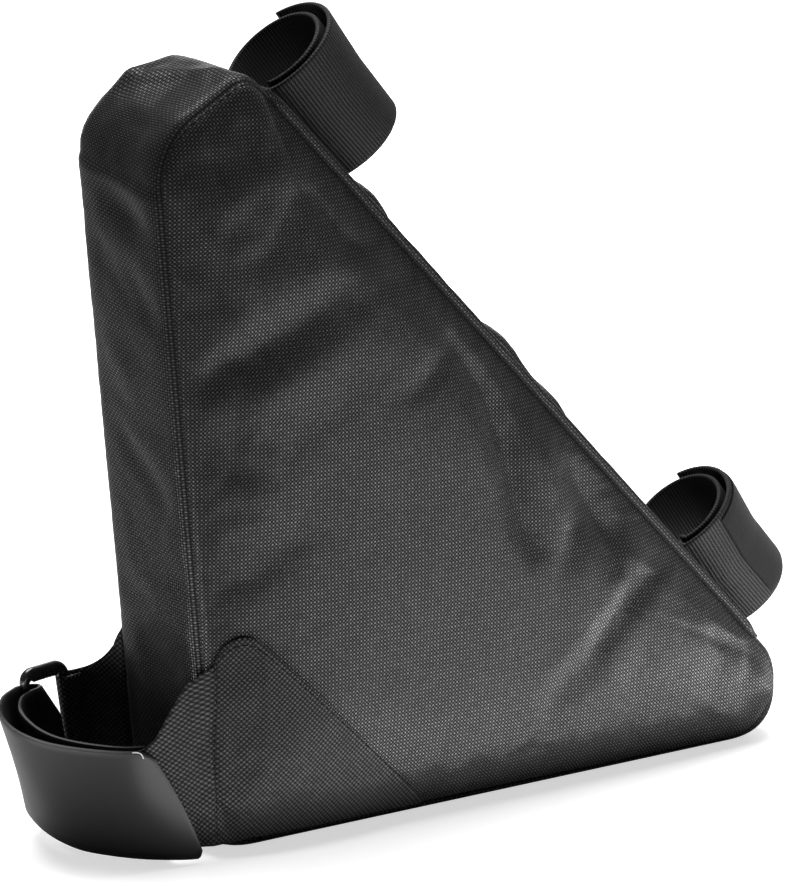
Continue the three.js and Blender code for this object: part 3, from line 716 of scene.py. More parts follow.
FACET_AT = [0.0, 0.15, 0.3, 0.38, 0.45, 0.52, 0.58, 0.66, 0.75, 0.85, 1.0]  # share of the slanted edge
FACET_WIDE = [12, 13, 12, 9, 11, 18, 15, 22, 26, 14, 8]  # width there in millimetres


def facet_round(line, from_seam):
    """Height share of a panel beside its slanted seam: an even slope with a ridge where it ends."""
    top, low = line[on_slant, 1].max(), line[on_slant, 1].min()
    wide = np.interp((top - line[:, 1]) / (top - low), FACET_AT, FACET_WIDE)
    across = from_seam / wide
    return across / (1 + across ** 6) ** (1 / 6)


UNEVEN = [(34.0, 0.45), (11.0, 0.16)]  # size and height of the broad and of the fine unevenness
PUCKERS = (2.6, 0.55)  # the same of the puckers beside the seam
PUCKER_AT, PUCKER_WIDE = 3.5, 3.0  # distance of the puckers from the seam, and their reach
HELD_REACH = 4.0  # over this distance from the seam the cloth lies flat


def panel_surface(line, normals, side, bulge, folds, seed):
    """Grid of points of one panel, and their distance from the seam. side is -1 in front and 1 behind."""
    flat = MIDDLE + ring_share[:, None, None] * (line - MIDDLE)
    share = ring_share[:, None]
    outer = np.clip(share / ROLL_FROM, 0, 1)
    from_seam = (1 - share) * ((line - MIDDLE) * normals).sum(1)
    roll = 1 - np.exp(-from_seam / reach_round(seed)) * outer
    slanted = blurred_round(on_slant.astype(float), 9)
    roll += slanted * (facet_round(line, from_seam) - roll) * outer
    out = bulge * (1 - share ** BULGE_POWER) + ROLL_HEIGHT * roll
    points = flat.reshape(-1, 2)
    loose = 1 - np.exp(-from_seam / HELD_REACH)
    out -= fold_depth(points, folds).reshape(out.shape) * loose
    for number, (size, high) in enumerate(UNEVEN, 1):
        out += high * loose * ripple(points, size, seed + number).reshape(out.shape)
    puckers = ripple_along(arc_length, PUCKERS[0], seed + 3)
    out += PUCKERS[1] * np.exp(-((from_seam - PUCKER_AT) / PUCKER_WIDE) ** 2) * puckers
    grid = np.empty((RINGS, len(line), 3))
    grid[..., 0], grid[..., 2] = flat[..., 0], flat[..., 1]
    grid[..., 1] = side * (DEPTH / 2 + out)
    return grid, from_seam


FRONT_FOLDS = [  # line that the fold follows (x, z), half width, depth, sharpness of its sides
    ([(98, 176), (110, 156), (118, 134), (123, 112), (129, 97)], 6.5, 4.2, 1.7),
    ([(131, 146), (137, 128), (141, 104)], 5.5, -0.9, 2.0),
    ([(150, 121), (160, 104), (166, 92), (170, 81)], 6.5, 3.6, 1.6),
    ([(184, 84), (175, 97)], 6.0, -0.6, 2.0),
    ([(184, 78), (163, 59), (139, 38)], 6.0, 1.9, 2.0),
    ([(172, 80), (150, 58), (130, 42)], 6.0, -0.8, 2.0),
    ([(148, 104), (140, 74)], 4.5, 0.9, 2.0),
    ([(34, 243), (46, 226), (60, 213)], 4.5, 1.5, 1.8),
    ([(70, 206), (84, 190), (95, 178)], 5.0, 1.6, 1.8),
    ([(47, 198), (18, 187), (-9, 175)], 9.0, 1.5, 2.0),
    ([(52, 186), (22, 172), (-4, 160)], 9.0, -0.9, 2.0),
    ([(40, 130), (20, 112), (2, 104)], 10.0, 0.8, 2.0),
    ([(212, 52), (222, 40)], 4.0, 1.3, 1.8),
    ([(236, 40), (228, 22)], 4.0, 1.0, 1.8),
    ([(-3, 258), (2, 244)], 4.0, 1.0, 1.8),
    ([(10, 266), (14, 254)], 3.5, 0.8, 1.8),
    ([(24, 266), (29, 250)], 3.5, 1.2, 1.8),
]
REAR_FOLDS = [
    ([(20, 226), (60, 196), (100, 150)], 7.0, 1.6, 1.8),
    ([(40, 60), (90, 90), (150, 92)], 10.0, 1.8, 2.0),
    ([(0, 150), (40, 170)], 8.0, 1.4, 2.0),
    ([(170, 60), (200, 30)], 7.0, 1.4, 1.8),
    ([(-8, 110), (20, 90)], 7.0, 1.2, 2.0),
]

front_grid, front_inset = panel_surface(front_line, front_normals, -1, FRONT_BULGE, FRONT_FOLDS, 3.1)
rear_grid, rear_inset = panel_surface(rear_line, rear_normals, 1, REAR_BULGE, REAR_FOLDS, 23.7)
print("front panel stands out", round(-front_grid[..., 1].min() - DEPTH / 2, 1), "mm, rear panel",
      round(rear_grid[..., 1].max() - DEPTH / 2, 1), "mm")

# %% [markdown]
# ## The gusset
# One band of cloth runs all the way round between the panels. It stands a little proud between the seams,
# lies flat on the floor underneath, and has its own creases: the sharp fold across the upper corner, and the
# hollow below it. On the slanted edge it billows, mostly in front.

# %% Gusset shape
ACROSS = 26
STAND, SLANT_STAND = 2.5, 2.0  # how far the band stands out between its seams, and the same on the slant
SEAM_Y = DEPTH / 2 - 0.25
BILLOWS = [  # share of the slanted edge, width, height
    (0.205, 0.045, 6.0), (0.46, 0.06, 6.5), (0.56, 0.04, 5.0), (0.7, 0.05, 2.5)]
BAND_UNEVEN = (22.0, 0.35)  # size and height of the unevenness
BAND_PUCKERS = (3.0, 0.3)  # the same of the puckers beside the seams
GUSSET_FOLDS = [  # the same columns, but the line is (height on the left edge, y)
    ([(226, -16), (232, -4), (236, 9)], 7.5, 2.0, 2.0),
    ([(251, -16), (254, 0), (256, 12)], 6.0, -0.8, 2.0),
    ([(196, -20), (203, -6)], 7.0, 1.0, 2.0),
    ([(150, 12), (140, -4), (128, -16)], 5.0, 0.9, 1.8),
    ([(112, -20), (96, -18)], 5.0, 0.9, 1.8),
    ([(182, 10), (168, -2)], 7.0, -0.7, 2.0),
    ([(60, -14), (76, 6)], 8.0, 0.9, 2.0),
]
TOP_FOLDS = [  # the same, but the line is (distance along the band past the start of the top edge, y)
    ([(8, 29), (9, 15)], 9.0, -6.0, 1.5),
    ([(8, 20), (14, 4), (22, -14)], 4.5, -1.8, 1.3),
    ([(-14, 6), (-6, -12)], 8.0, 1.3, 2.0),
]


def arc_at_height(z):
    """Arc length of the point of the left edge at a height."""
    on_left = parts == LEFT_EDGE
    return float(np.interp(z, front_line[on_left, 1], arc_length[on_left]))


def billowed(share):
    """How far the band stands out on the slanted edge alone, most in front."""
    along = arc_length - arc_length[on_slant][0]
    along = along / along[on_slant][-1] * on_slant
    billow = sum(high * np.exp(-((along - at) / wide) ** 2) for at, wide, high in BILLOWS)
    return (billow * on_slant)[:, None] * (1 - 0.5 * share[None])


def band_folds():
    """The rows of both tables, with their lines given along the band."""
    rows = [([(arc_at_height(z), y) for z, y in path], *rest) for path, *rest in GUSSET_FOLDS]
    top = arc_length[parts == TOP_EDGE][0]
    return rows + [([(top + a, y) for a, y in path], *rest) for path, *rest in TOP_FOLDS]


def gusset_surface(end_y):
    """Grid of the band: one row for each point of the outline, and ACROSS columns from front to rear."""
    across = np.linspace(-1, 1, ACROSS)
    rise = np.sqrt(np.clip(1 - np.abs(across) ** 6, 0, 1))
    share = (across + 1) / 2
    behind = share[None, :, None]
    line = front_line[:, None] * (1 - behind) + rear_line[:, None] * behind
    normal = front_normals[:, None] * (1 - behind) + rear_normals[:, None] * behind
    normal /= np.linalg.norm(normal, axis=2, keepdims=True)
    stand = np.where(np.isin(parts, (TOP_ARC, TOP_EDGE, APEX_ARC, SLANT_EDGE)), SLANT_STAND, STAND)
    stand = blurred_round(stand, 17)[:, None] + billowed(share)
    near_floor = np.isin(parts, (LOW_ARC, LEFT_EDGE, NOSE_ARC, BOTTOM_EDGE))
    down = np.clip(-normal[..., 1], 0, 1) ** 2 * near_floor[:, None]
    stand = stand * (1 - down) + line[..., 1] * down
    places = spread(arc_length[:, None], across[None] * end_y).reshape(-1, 2)
    free = (1 - down) * rise
    inwards = fold_depth(places, band_folds()).reshape(free.shape) * free
    size, high = BAND_UNEVEN
    inwards -= high * ripple(places, size, 51.0).reshape(free.shape) * free
    near_seam = np.exp(-((end_y - np.abs(across * end_y)) / HELD_REACH) ** 2)
    size, high = BAND_PUCKERS
    inwards += high * ripple(places, size, 61.0).reshape(free.shape) * near_seam * free
    flat = line + normal * (stand * rise - inwards)[..., None]
    grid = np.empty((*flat.shape[:2], 3))
    grid[..., 0], grid[..., 2] = flat[..., 0], np.maximum(flat[..., 1], 0.0)
    grid[..., 1] = across * end_y
    return grid


gusset_grid = gusset_surface(SEAM_Y)
print("gusset grid:", gusset_grid.shape[:2])

# %% [markdown]
# ## Letting the cloth settle
# Formulas alone look stiff. So the whole bag is also simulated as cloth: a coarser copy is remeshed into even
# squares, its seams are held, the cloth between them is cut a little too large, and a soft inner pressure
# fills it. The cloth buckles where it has too much length. Only how far each point moved is kept, and a share
# of this movement is carried over to the fine pieces.

# %% Simulate the bag as cloth
CAGE_VOXEL = 0.005
CAGE_FRAMES = 22
MOST_SETTLING = 3.5  # millimetres that a point may move
SETTLING_KEPT = 0.3  # share of the movement that is used, because this bag's cloth is stiff
GRIP_REACH, GRIP_STRENGTH, GRIP_LEAST = 0.0055, 1.3, 0.02  # how the seams hold the cloth near them
HELD_BELOW = 0.003  # the cloth that lies on the floor is held too
SETTLES_FROM = 3.0  # millimetres from the seam over which the panels begin to move
CAGE_GRAVITY = 0.02
CLOTH_RULES = dict(
    quality=5, mass=0.15, tension_stiffness=15, compression_stiffness=15, shear_stiffness=6,
    bending_stiffness=0.6, use_pressure=True, uniform_pressure_force=4.0, shrink_min=-0.03, shrink_max=-0.03,
    vertex_group_mass="held")


def middle_tip(grid):
    """The point in the middle that closes a panel's grid."""
    return np.array([MIDDLE[0], grid[-1, :, 1].mean(), MIDDLE[1]])


def cage_mesh():
    """The coarse closed bag, in metres, as an object."""
    seam_to_seam = gusset_surface(DEPTH / 2)
    seam_to_seam[:, 0], seam_to_seam[:, -1] = front_grid[0], rear_grid[0]
    points, faces = [], []

    def add_grid(grid, wrap):
        first = sum(len(p) for p in points)
        points.append(grid.reshape(-1, 3))
        faces.extend(quads(grid.shape[0], grid.shape[1], wrap, first).tolist())
        return first

    band = np.concatenate([seam_to_seam[::2, ::5], seam_to_seam[:1, ::5]])
    add_grid(band, False)
    for grid in (front_grid, rear_grid):
        coarse = grid[::3, ::2]
        first = add_grid(coarse, True)
        last = first + (coarse.shape[0] - 1) * coarse.shape[1]
        tip = sum(len(p) for p in points)
        points.append(middle_tip(grid)[None])
        faces.extend([(last + j, last + (j + 1) % coarse.shape[1], tip) for j in range(coarse.shape[1])])
    mesh = bpy.data.meshes.new("cage")
    mesh.from_pydata(place(np.concatenate(points)).tolist(), [], faces)
    work = bmesh.new()
    work.from_mesh(mesh)
    bmesh.ops.remove_doubles(work, verts=work.verts, dist=0.0002)
    bmesh.ops.recalc_face_normals(work, faces=work.faces)
    work.to_mesh(mesh)
    work.free()
    return add_object("cage", mesh)


def baked_copy(source, name):
    """A plain mesh object of what source looks like with its modifiers."""
    bpy.context.view_layer.update()
    graph = bpy.context.evaluated_depsgraph_get()
    return add_object(name, bpy.data.meshes.new_from_object(source.evaluated_get(graph)))


def mesh_points(mesh):
    points = np.zeros(len(mesh.vertices) * 3, np.float32)
    mesh.vertices.foreach_get("co", points)
    return points.reshape(-1, 3).astype(float)


def settle():
    """Runs the cloth and returns the cage's points, its triangles, and how far each point moved."""
    cage = cage_mesh()
    remesh = cage.modifiers.new("even squares", "REMESH")
    remesh.mode = "VOXEL"
    remesh.voxel_size = CAGE_VOXEL
    skin = baked_copy(cage, "settling_skin")
    bpy.data.objects.remove(cage)
    start = mesh_points(skin.data)
    held = skin.vertex_groups.new(name="held")
    seams = place(np.concatenate([front_grid[0], rear_grid[0]]))
    for index, point in enumerate(start):
        apart = np.linalg.norm(seams - point, axis=1).min()
        grip = 1.0 if point[2] < HELD_BELOW else math.exp(-(apart / GRIP_REACH) ** 2)
        if grip > GRIP_LEAST:
            held.add([index], min(1.0, grip * GRIP_STRENGTH), "REPLACE")
    cloth = skin.modifiers.new("cloth", "CLOTH")
    for rule, value in CLOTH_RULES.items():
        setattr(cloth.settings, rule, value)
    cloth.settings.effector_weights.gravity = CAGE_GRAVITY
    cloth.collision_settings.use_collision = False
    cloth.point_cache.frame_start, cloth.point_cache.frame_end = 1, CAGE_FRAMES
    scene = bpy.context.scene
    for number in range(1, CAGE_FRAMES + 1):
        scene.frame_set(number)
    moved = mesh_points(skin.evaluated_get(bpy.context.evaluated_depsgraph_get()).data) - start
    scene.frame_set(1)
    moved /= MM
    size = np.linalg.norm(moved, axis=1)
    moved *= (MOST_SETTLING * np.tanh(size / MOST_SETTLING) / np.maximum(size, 1e-9))[:, None]
    skin.data.calc_loop_triangles()
    triangles = np.array([t.vertices[:] for t in skin.data.loop_triangles])
    bpy.data.objects.remove(skin)
    print("settled", len(start), "points, which moved", round(size.mean(), 2), "mm, at most",
          round(size.max(), 2))
    return start, triangles, moved


def shares_of(point, a, b, c):
    """How much each corner of a triangle counts at a point in it."""
    ab, ac, ap = b - a, c - a, point - a
    scale = max((ab @ ab) * (ac @ ac) - (ab @ ac) * (ab @ ac), 1e-18)
    v = ((ac @ ac) * (ap @ ab) - (ab @ ac) * (ap @ ac)) / scale
    w = ((ab @ ab) * (ap @ ac) - (ab @ ac) * (ap @ ab)) / scale
    return 1 - v - w, v, w


def settled(grid, amount):
    """The grid with the cage's movement added, times amount at each point."""
    flat = place(grid.reshape(-1, 3))
    result = np.zeros_like(flat)
    for index, point in enumerate(flat):
        spot, _, face, _ = cage_tree.find_nearest(Vector(point))
        corners = cage_triangles[face]
        shares = shares_of(np.array(spot), *cage_start[corners])
        result[index] = sum(share * cage_moved[k] for share, k in zip(shares, corners))
    return grid + result.reshape(grid.shape) * amount[..., None] * SETTLING_KEPT


cage_start, cage_triangles, cage_moved = settle()
cage_tree = BVHTree.FromPolygons([Vector(p) for p in cage_start], cage_triangles.tolist())
front_grid = settled(front_grid, 1 - np.exp(-front_inset / SETTLES_FROM))
rear_grid = settled(rear_grid, 1 - np.exp(-rear_inset / SETTLES_FROM))
loose = 1 - np.abs(np.linspace(-1, 1, ACROSS)) ** 4
gusset_grid = settled(gusset_grid, np.broadcast_to(loose, gusset_grid.shape[:2]))
gusset_grid[..., 2] = np.maximum(gusset_grid[..., 2], 0.0)

# %% [markdown]
# ## Sewing the body
# At a seam both cloths turn inwards, so the rim of each panel and of the band dips into a narrow groove,
# where the stitches will lie. Beside a welt there is no groove. Then each grid becomes a closed shell with
# its own wall.

# %% Make the panels and the gusset
FAR = 1000.0
GROOVE, GROOVE_WIDE = 2.0, 1.2
UV_SMOOTH = 11


def groove(inset):
    return GROOVE * np.exp(-(inset / GROOVE_WIDE) ** 2)


groove_round = 1 - np.convolve(on_slant.astype(float), np.ones(5) / 5, "same")  # none beside a welt
front_grid[..., 1] += groove(front_inset) * groove_round
rear_grid[..., 1] -= groove(rear_inset) * groove_round


def spread_out(grid):
    """UV of a panel: each point at its way along the cloth from the middle, as if it were laid flat."""
    tip = np.broadcast_to(middle_tip(grid), grid[:1].shape)
    steps = np.linalg.norm(np.diff(np.concatenate([grid, tip]), axis=0), axis=2)
    way = np.cumsum(steps[::-1], 0)[::-1]
    flat = np.linalg.norm(grid[..., [0, 2]] - MIDDLE, axis=2)
    extra = np.array([blurred_round(row, UV_SMOOTH) for row in way - flat])
    return MIDDLE + (grid[..., [0, 2]] - MIDDLE) * (1 + extra / np.maximum(flat, 1e-6))[..., None]


def panel_piece(name, grid, side, node):
    tip = middle_tip(grid)
    pole = (tip, tip - np.array([0, side * WALL, 0]), MIDDLE)
    outside = np.array([MIDDLE[0], side * FAR, MIDDLE[1]])
    piece = shell(name, grid, spread_out(grid), panel_cloth, outside, wrap=True, pole=pole)
    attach(piece, "root")
    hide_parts(node)
    return piece


front_panel = panel_piece("front_panel_cloth", front_grid, -1, "front_panel")
rear_panel = panel_piece("rear_panel_cloth", rear_grid, 1, "rear_panel")

band = np.concatenate([gusset_grid, gusset_grid[:1]])
band[-1] += (band[-2] - band[-1]) * 0.15  # the band's end stops just short of its start
across_way = np.cumsum(np.linalg.norm(np.diff(band, axis=1, prepend=band[:, :1]), axis=2), 1)
band_uv = spread(np.append(arc_length, steps_round.sum())[:, None], across_way)
rim_dip = groove(SEAM_Y - np.abs(band[..., 1])) * np.append(groove_round, groove_round[0])[:, None]
lines = np.concatenate([front_normals, front_normals[:1]])
band[..., 0] -= lines[:, None, 0] * rim_dip
band[..., 2] = np.maximum(band[..., 2] - lines[:, None, 1] * rim_dip, 0)
far_off = MIDDLE + lines * FAR
ring_outside = spread(far_off[:, None, 0], 0 * band[..., 1], far_off[:, None, 1])
gusset = shell("gusset_band", band, band_uv, gusset_cloth, ring_outside)
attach(gusset, "root")
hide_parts("left_gusset", "slant_gusset", "bottom_gusset")
print("body:", [(o.name, len(o.data.polygons)) for o in (front_panel, rear_panel, gusset)])


# %% Find the cloth under other pieces
def tree_of(grid, wrap):
    rows, columns = grid.shape[:2]
    return BVHTree.FromPolygons([Vector(p) for p in grid.reshape(-1, 3)], quads(rows, columns, wrap).tolist())


trees = {-1: tree_of(front_grid, True), 1: tree_of(rear_grid, True)}


def lies_at(x, z, side):
    """y of the panel's outer side at a point, or of the seam where the panel ends."""
    hit = trees[side].ray_cast(Vector((x, side * 200, z)), Vector((0, -side, 0)))[0]
    return side * DEPTH / 2 if hit is None else hit.y


# %% [markdown]
# ## Welts
# Along the slanted seams the cloth is rolled into a raised welt. It is a tube that follows the outline just
# outside the seam. Its section isn't quite round and changes slowly, as a rolled hem does. It narrows at both
# ends and sinks in towards the nose.

# %% Tubes
def closed_tube(name, rings, uv, material, smooth_angle=60):
    """A closed body from rings of points, with both ends closed by fans."""
    count, sides = rings.shape[:2]
    points = [rings.reshape(-1, 3), rings[0].mean(0)[None], rings[-1].mean(0)[None]]
    faces = quads(count, sides, True).tolist()
    first, last = count * sides, count * sides + 1
    for j in range(sides):
        nj = (j + 1) % sides
        faces.append([nj, j, first])
        faces.append([first - sides + j, first - sides + nj, last])
    points = np.concatenate(points)
    if volume_of(points, faces) < 0:
        faces = [f[::-1] for f in faces]
    flat_uv = np.concatenate([uv.reshape(-1, 2), uv[0, :1], uv[-1, :1]])
    # the even edge value of 0.35 gives a little rubbing wear, and on woven cloth a faint even painted seam
    # shade
    return add_mesh(name, points, faces, flat_uv, np.full(len(points), 0.35), material, smooth_angle)


WELT_SHORT = 2  # points of the slanted edge left free at the nose
WELT_RADIUS, WELT_OUT, WELT_ASIDE = 1.7, 1.15, 1.0
WELT_SIDES = 16


def welt(name, line, normals, side, node):
    """Rolled welt along the slanted seam of one panel."""
    chosen = np.flatnonzero(on_slant)[1:-WELT_SHORT]
    path, normal, arc = line[chosen], normals[chosen], arc_length[chosen]
    tangent = np.stack([normal[:, 1], -normal[:, 0]], 1)
    angle = np.linspace(0, 2 * math.pi, WELT_SIDES, endpoint=False)
    number = np.arange(len(arc))
    ends = np.clip(np.minimum(number, number[::-1]) / 2.5, 0.25, 1) ** 0.5
    sunk = np.clip((len(arc) - number) / 6, 0.3, 1)
    wobble = ripple_along(arc, 9.0, 71.0 + side)
    rings, uv = np.empty((len(arc), WELT_SIDES, 3)), np.empty((len(arc), WELT_SIDES, 2))
    for k in range(len(arc)):
        radius = WELT_RADIUS * ends[k] * (1 + 0.10 * wobble[k])
        out = path[k] + normal[k] * (WELT_OUT * sunk[k] + 0.15 * wobble[k])
        across = np.cos(angle) * radius * 1.05
        rings[k, :, 0] = out[0] + normal[k, 0] * across
        rings[k, :, 2] = out[1] + normal[k, 1] * across
        rings[k, :, 1] = side * (DEPTH / 2 + WELT_ASIDE) + np.sin(angle) * radius
        uv[k, :, 0], uv[k, :, 1] = arc[k], angle * radius
    rings[0, :, [0, 2]] -= tangent[0][:, None] * 1.0
    piece = closed_tube(name, rings, uv, gusset_cloth)
    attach(piece, "root")
    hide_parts(node)
    return piece


welts = [welt("front_welt_roll", front_line, front_normals, -1, "front_welt"),
         welt("rear_welt_roll", rear_line, rear_normals, 1, "rear_welt")]
print("welts:", [len(o.data.polygons) for o in welts])

# %% [markdown]
# ## Webbing loops
# Webbing is woven with thick ribs straight across it. Each loop is one long band that starts inside at the
# front, goes over the top and down the back, lies on the gusset, and comes up again outside to its free end.
# The ribs are real bumps in the mesh, so that they also catch light at the rim. Distances round the loop are
# counted in turns: 0 is at the front, a quarter is the top.

# %% Make the webbing loops
BAND_WIDTH, BAND_THICK = 46.0, 1.7
RIB_HEIGHT, RIB_STEPS = 0.2, 6
LOOP_START, LOOP_END = -0.14, 1.39
ABOVE_BAND, SECOND_LAYER = 1.45, 3.0  # height of the lower layer over the gusset, and of the next over it
LOOPS = {  # place is a share of the slanted edge, turn is in degrees, and upper and lower are reach per turn
    "upper_strap": dict(place=0.04, turn=2, radius=17.0, squash=1.0, middle=19.0, upper=4.8, lower=2.6),
    "lower_strap": dict(place=0.731, turn=4, radius=17.5, squash=0.94, middle=15.5, upper=4.2, lower=2.6),
}
BAND_COLUMNS = np.array([0, 0.004, 0.012, 0.024, 0.05, 0.15, 0.3, 0.5, 0.7, 0.85, 0.95, 0.976, 0.988,
                         0.996, 1])  # shares of the width
BAND_EDGE = np.array([0.35, 0.72, 0.95, 1, 1, 1, 1, 1, 1, 1, 1, 1, 0.95, 0.72, 0.35])  # thickness at each
SHARP = {name: np.array([x, z]) for name, x, z, *_ in CORNERS}


def loop_point(shape, turns, share):
    """Middle of the band at a number of turns and a share of its width."""
    edge = SHARP["nose"] - SHARP["apex"]
    along = edge / np.linalg.norm(edge)
    lean = -math.radians(shape["turn"])
    turned = np.array([along[0] * math.cos(lean) - along[1] * math.sin(lean),
                       along[0] * math.sin(lean) + along[1] * math.cos(lean)])
    outwards = np.array([-turned[1], turned[0]])
    angle = 2 * math.pi * turns
    reach = shape["radius"] + (shape["upper"] * (1 - share) + shape["lower"] * share) * turns
    on_gusset = max(0.0, -math.sin(angle)) ** 4
    lowest = SLANT_STAND + ABOVE_BAND + (SECOND_LAYER if turns < 0.25 else 0.0)
    free = shape["middle"] + math.sin(angle) * reach
    height = max(free * (1 - on_gusset) + lowest * on_gusset, lowest)
    sideways = BAND_WIDTH * (share - 0.5)
    start = SHARP["apex"] + edge * shape["place"] + along * BAND_WIDTH / 2
    lift = height + abs(sideways) * math.sin(math.radians(shape["turn"]))
    at = start + turned * sideways + outwards * lift
    return np.array([at[0], -math.cos(angle) * reach * shape["squash"], at[1]])


def band_grid(shape):
    """Grid of the band with rows at even distances, and those distances."""
    turns = np.linspace(LOOP_START, LOOP_END, 500)
    length = length_along(np.array([loop_point(shape, t, 0.5) for t in turns]))
    distance = np.arange(0, length[-1], RIB_PITCH / RIB_STEPS)
    even = np.interp(distance, length, turns)
    return np.array([[loop_point(shape, t, s) for s in BAND_COLUMNS] for t in even]), distance


def webbing_loop(name, node, shape):
    grid, distance = band_grid(shape)
    ribs = 0.5 + 0.5 * np.cos(2 * math.pi * distance / RIB_PITCH)
    inside = np.clip(BAND_EDGE * 1.4 - 0.4, 0, 1)
    thickness = BAND_THICK * BAND_EDGE[None] + 2 * RIB_HEIGHT * (ribs[:, None] ** 0.8 - 0.5) * inside[None]
    ends = np.clip(np.minimum(distance, distance[::-1]) / 0.8, 0.4, 1)
    uv = spread(BAND_COLUMNS[None] * BAND_WIDTH, distance[:, None])
    outside = grid[0].mean(0) + np.array([FAR, 0, FAR])
    piece = shell(name, grid, uv, webbing, outside, (thickness * ends[:, None])[..., None], centred=True)
    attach(piece, "root")
    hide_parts(node)
    print(name, "is", round(distance[-1]), "mm long,", len(piece.data.polygons), "faces")


for loop_node, loop_shape in LOOPS.items():
    webbing_loop(loop_node.replace("strap", "webbing"), loop_node, loop_shape)

# %% [markdown]
# ## The strap's way
# The loop at the lower left corner holds the bag on the upright tube. Its smooth coated strap leaves the
# front wing, goes round inside to the ring, turns loosely about the ring's near bar and comes back outside.
# The way is a short table, and a smooth curve goes through its rows. Upper and lower edge have their own
# columns, because the strap leans outwards.

# %% Curves through a table
def through(points, t):
    """Point at share t of a smooth curve through points, evenly paced by the distance between them."""
    points = np.asarray(points, float)
    last = len(points) - 1
    place_on = min(max(t, 0.0), 1.0) * last
    k = min(int(place_on), last - 1)
    f = place_on - k
    p1, p2 = points[k], points[k + 1]
    p0 = points[k - 1] if k > 0 else 2 * p1 - p2
    p3 = points[k + 2] if k + 2 <= last else 2 * p2 - p1
    d0, d1, d2 = (max(np.linalg.norm(b - a), 1e-6) ** 0.5 for a, b in ((p0, p1), (p1, p2), (p2, p3)))
    m1 = ((p1 - p0) / d0 - (p2 - p0) / (d0 + d1) + (p2 - p1) / d1) * d1
    m2 = ((p2 - p1) / d1 - (p3 - p1) / (d1 + d2) + (p3 - p2) / d2) * d1
    return (p1 + f * m1 + f * f * (3 * (p2 - p1) - 2 * m1 - m2) + f ** 3 * (2 * (p1 - p2) + m1 + m2))


# %% The strap's table
STRAP_THICK, STRAP_HIGH, STRAP_FLOOR = 1.7, 44.0, 2.0
LOOP_REACH, LOOP_SPAN, LOOP_FRONT = 61.0, DEPTH + 18.0, -DEPTH / 2 - 3.2
RING_BAR, RING_WIDE, RING_HIGH, RING_FLOOR = 3.5, 22.5, 58.0, 4.0
BAR_TURN = RING_BAR + 1.5 + 1.8
STRAP_WAY = np.array([  # x at top, y at top, x at bottom, y at bottom, rise, distance between the two runs
    (0.08, 0, 0.04, 0.01, 0, 0.72), (0.31, 0.01, 0.2, 0.05, 0, 0.72), (0.56, 0.07, 0.37, 0.15, 0, 0.73),
    (0.77, 0.22, 0.54, 0.29, 0.01, 0.85), (0.93, 0.41, 0.67, 0.43, 0.03, 1.05),
    (1.0, 0.6, 0.74, 0.58, 0.07, 1.18), (0.98, 0.79, 0.77, 0.76, 0.13, 1.1),
    (0.86, 0.92, 0.76, 0.91, 0.18, 1.02), (0.71, 0.985, 0.71, 0.985, 0.205, 1)])
RING_LEAN = 0.15  # sideways lean of the ring, per height
TOP_WAY = np.stack([-STRAP_WAY[:, 0] * LOOP_REACH, LOOP_FRONT + STRAP_WAY[:, 1] * LOOP_SPAN], 1)
LOW_WAY = np.stack([-STRAP_WAY[:, 2] * LOOP_REACH, LOOP_FRONT + STRAP_WAY[:, 3] * LOOP_SPAN], 1)
LIFT_WAY = np.stack([STRAP_WAY[:, 4] * STRAP_HIGH, STRAP_WAY[:, 5] * BAR_TURN], 1)
RING_TURN = math.radians(14)
RING_ALONG = np.array([math.cos(RING_TURN), math.sin(RING_TURN), 0])
RING_ACROSS = np.array([-RING_ALONG[1], RING_ALONG[0], 0])


def heading(way, t):
    step = through(way, t + 0.0005) - through(way, t - 0.0005)
    return step / np.linalg.norm(step)


def strap_point(t, high, inwards):
    """Point on the strap at share t of the way and share high of its height, moved inwards."""
    top, low = through(TOP_WAY, t), through(LOW_WAY, t)
    on_way = min(max(t, 0.001), 0.999)
    ahead = heading(TOP_WAY, on_way) * high + heading(LOW_WAY, on_way) * (1 - high)
    inward = np.array([ahead[1], -ahead[0]]) / np.linalg.norm(ahead) * inwards
    flat = low + (top - low) * high + inward
    near_ring = np.clip((t - 0.72) / 0.28, 0, 1) ** 1.5
    flat = flat - RING_ALONG[:2] * RING_LEAN * (high - 0.5) * STRAP_HIGH * near_ring
    return np.array([flat[0], flat[1], STRAP_FLOOR + high * STRAP_HIGH + through(LIFT_WAY, t)[0]])


def apart_at(t):
    return through(LIFT_WAY, t)[1]


RING_HALF = (RING_WIDE - RING_BAR) / 2
NEAR_BAR = strap_point(1, 0.5, apart_at(1) / 2) * [1, 1, 0]
FAR_BAR = NEAR_BAR + 2 * RING_HALF * RING_ALONG
print("ring bars at", NEAR_BAR.round(1), FAR_BAR.round(1))

# %% [markdown]
# ## The coated strap
# The strap is one smooth sheet with softly rounded edges. The slanted free end has two rounded corners. A
# slight unevenness keeps its highlight from looking machined.

# %% Make the coated strap
def rounded_rows(count, edge=0.02):
    """Shares of a strap's height, closer together near both edges."""
    inner = np.linspace(edge, 1 - edge, count)
    rim = np.array([0, 0.15, 0.45]) * edge
    return np.concatenate([rim, inner, 1 - rim[::-1]])


def rim_thickness(shares, height, thickness):
    """Thickness across a strap, rounded towards its two edges."""
    inside = np.minimum(shares, 1 - shares) * height / (thickness * 0.7)
    return thickness * np.sqrt(1 - np.clip(1 - inside, 0, 0.86) ** 2)


FREE_LOW, FREE_HIGH, FREE_ROUND, FREE_CORNER = 0.05, 0.2, 0.03, 0.08


def free_end(high):
    corner = max(0.0, abs(high - 0.5) + FREE_CORNER - 0.5) / FREE_CORNER
    return FREE_LOW + (FREE_HIGH - FREE_LOW) * high + FREE_ROUND * corner * corner


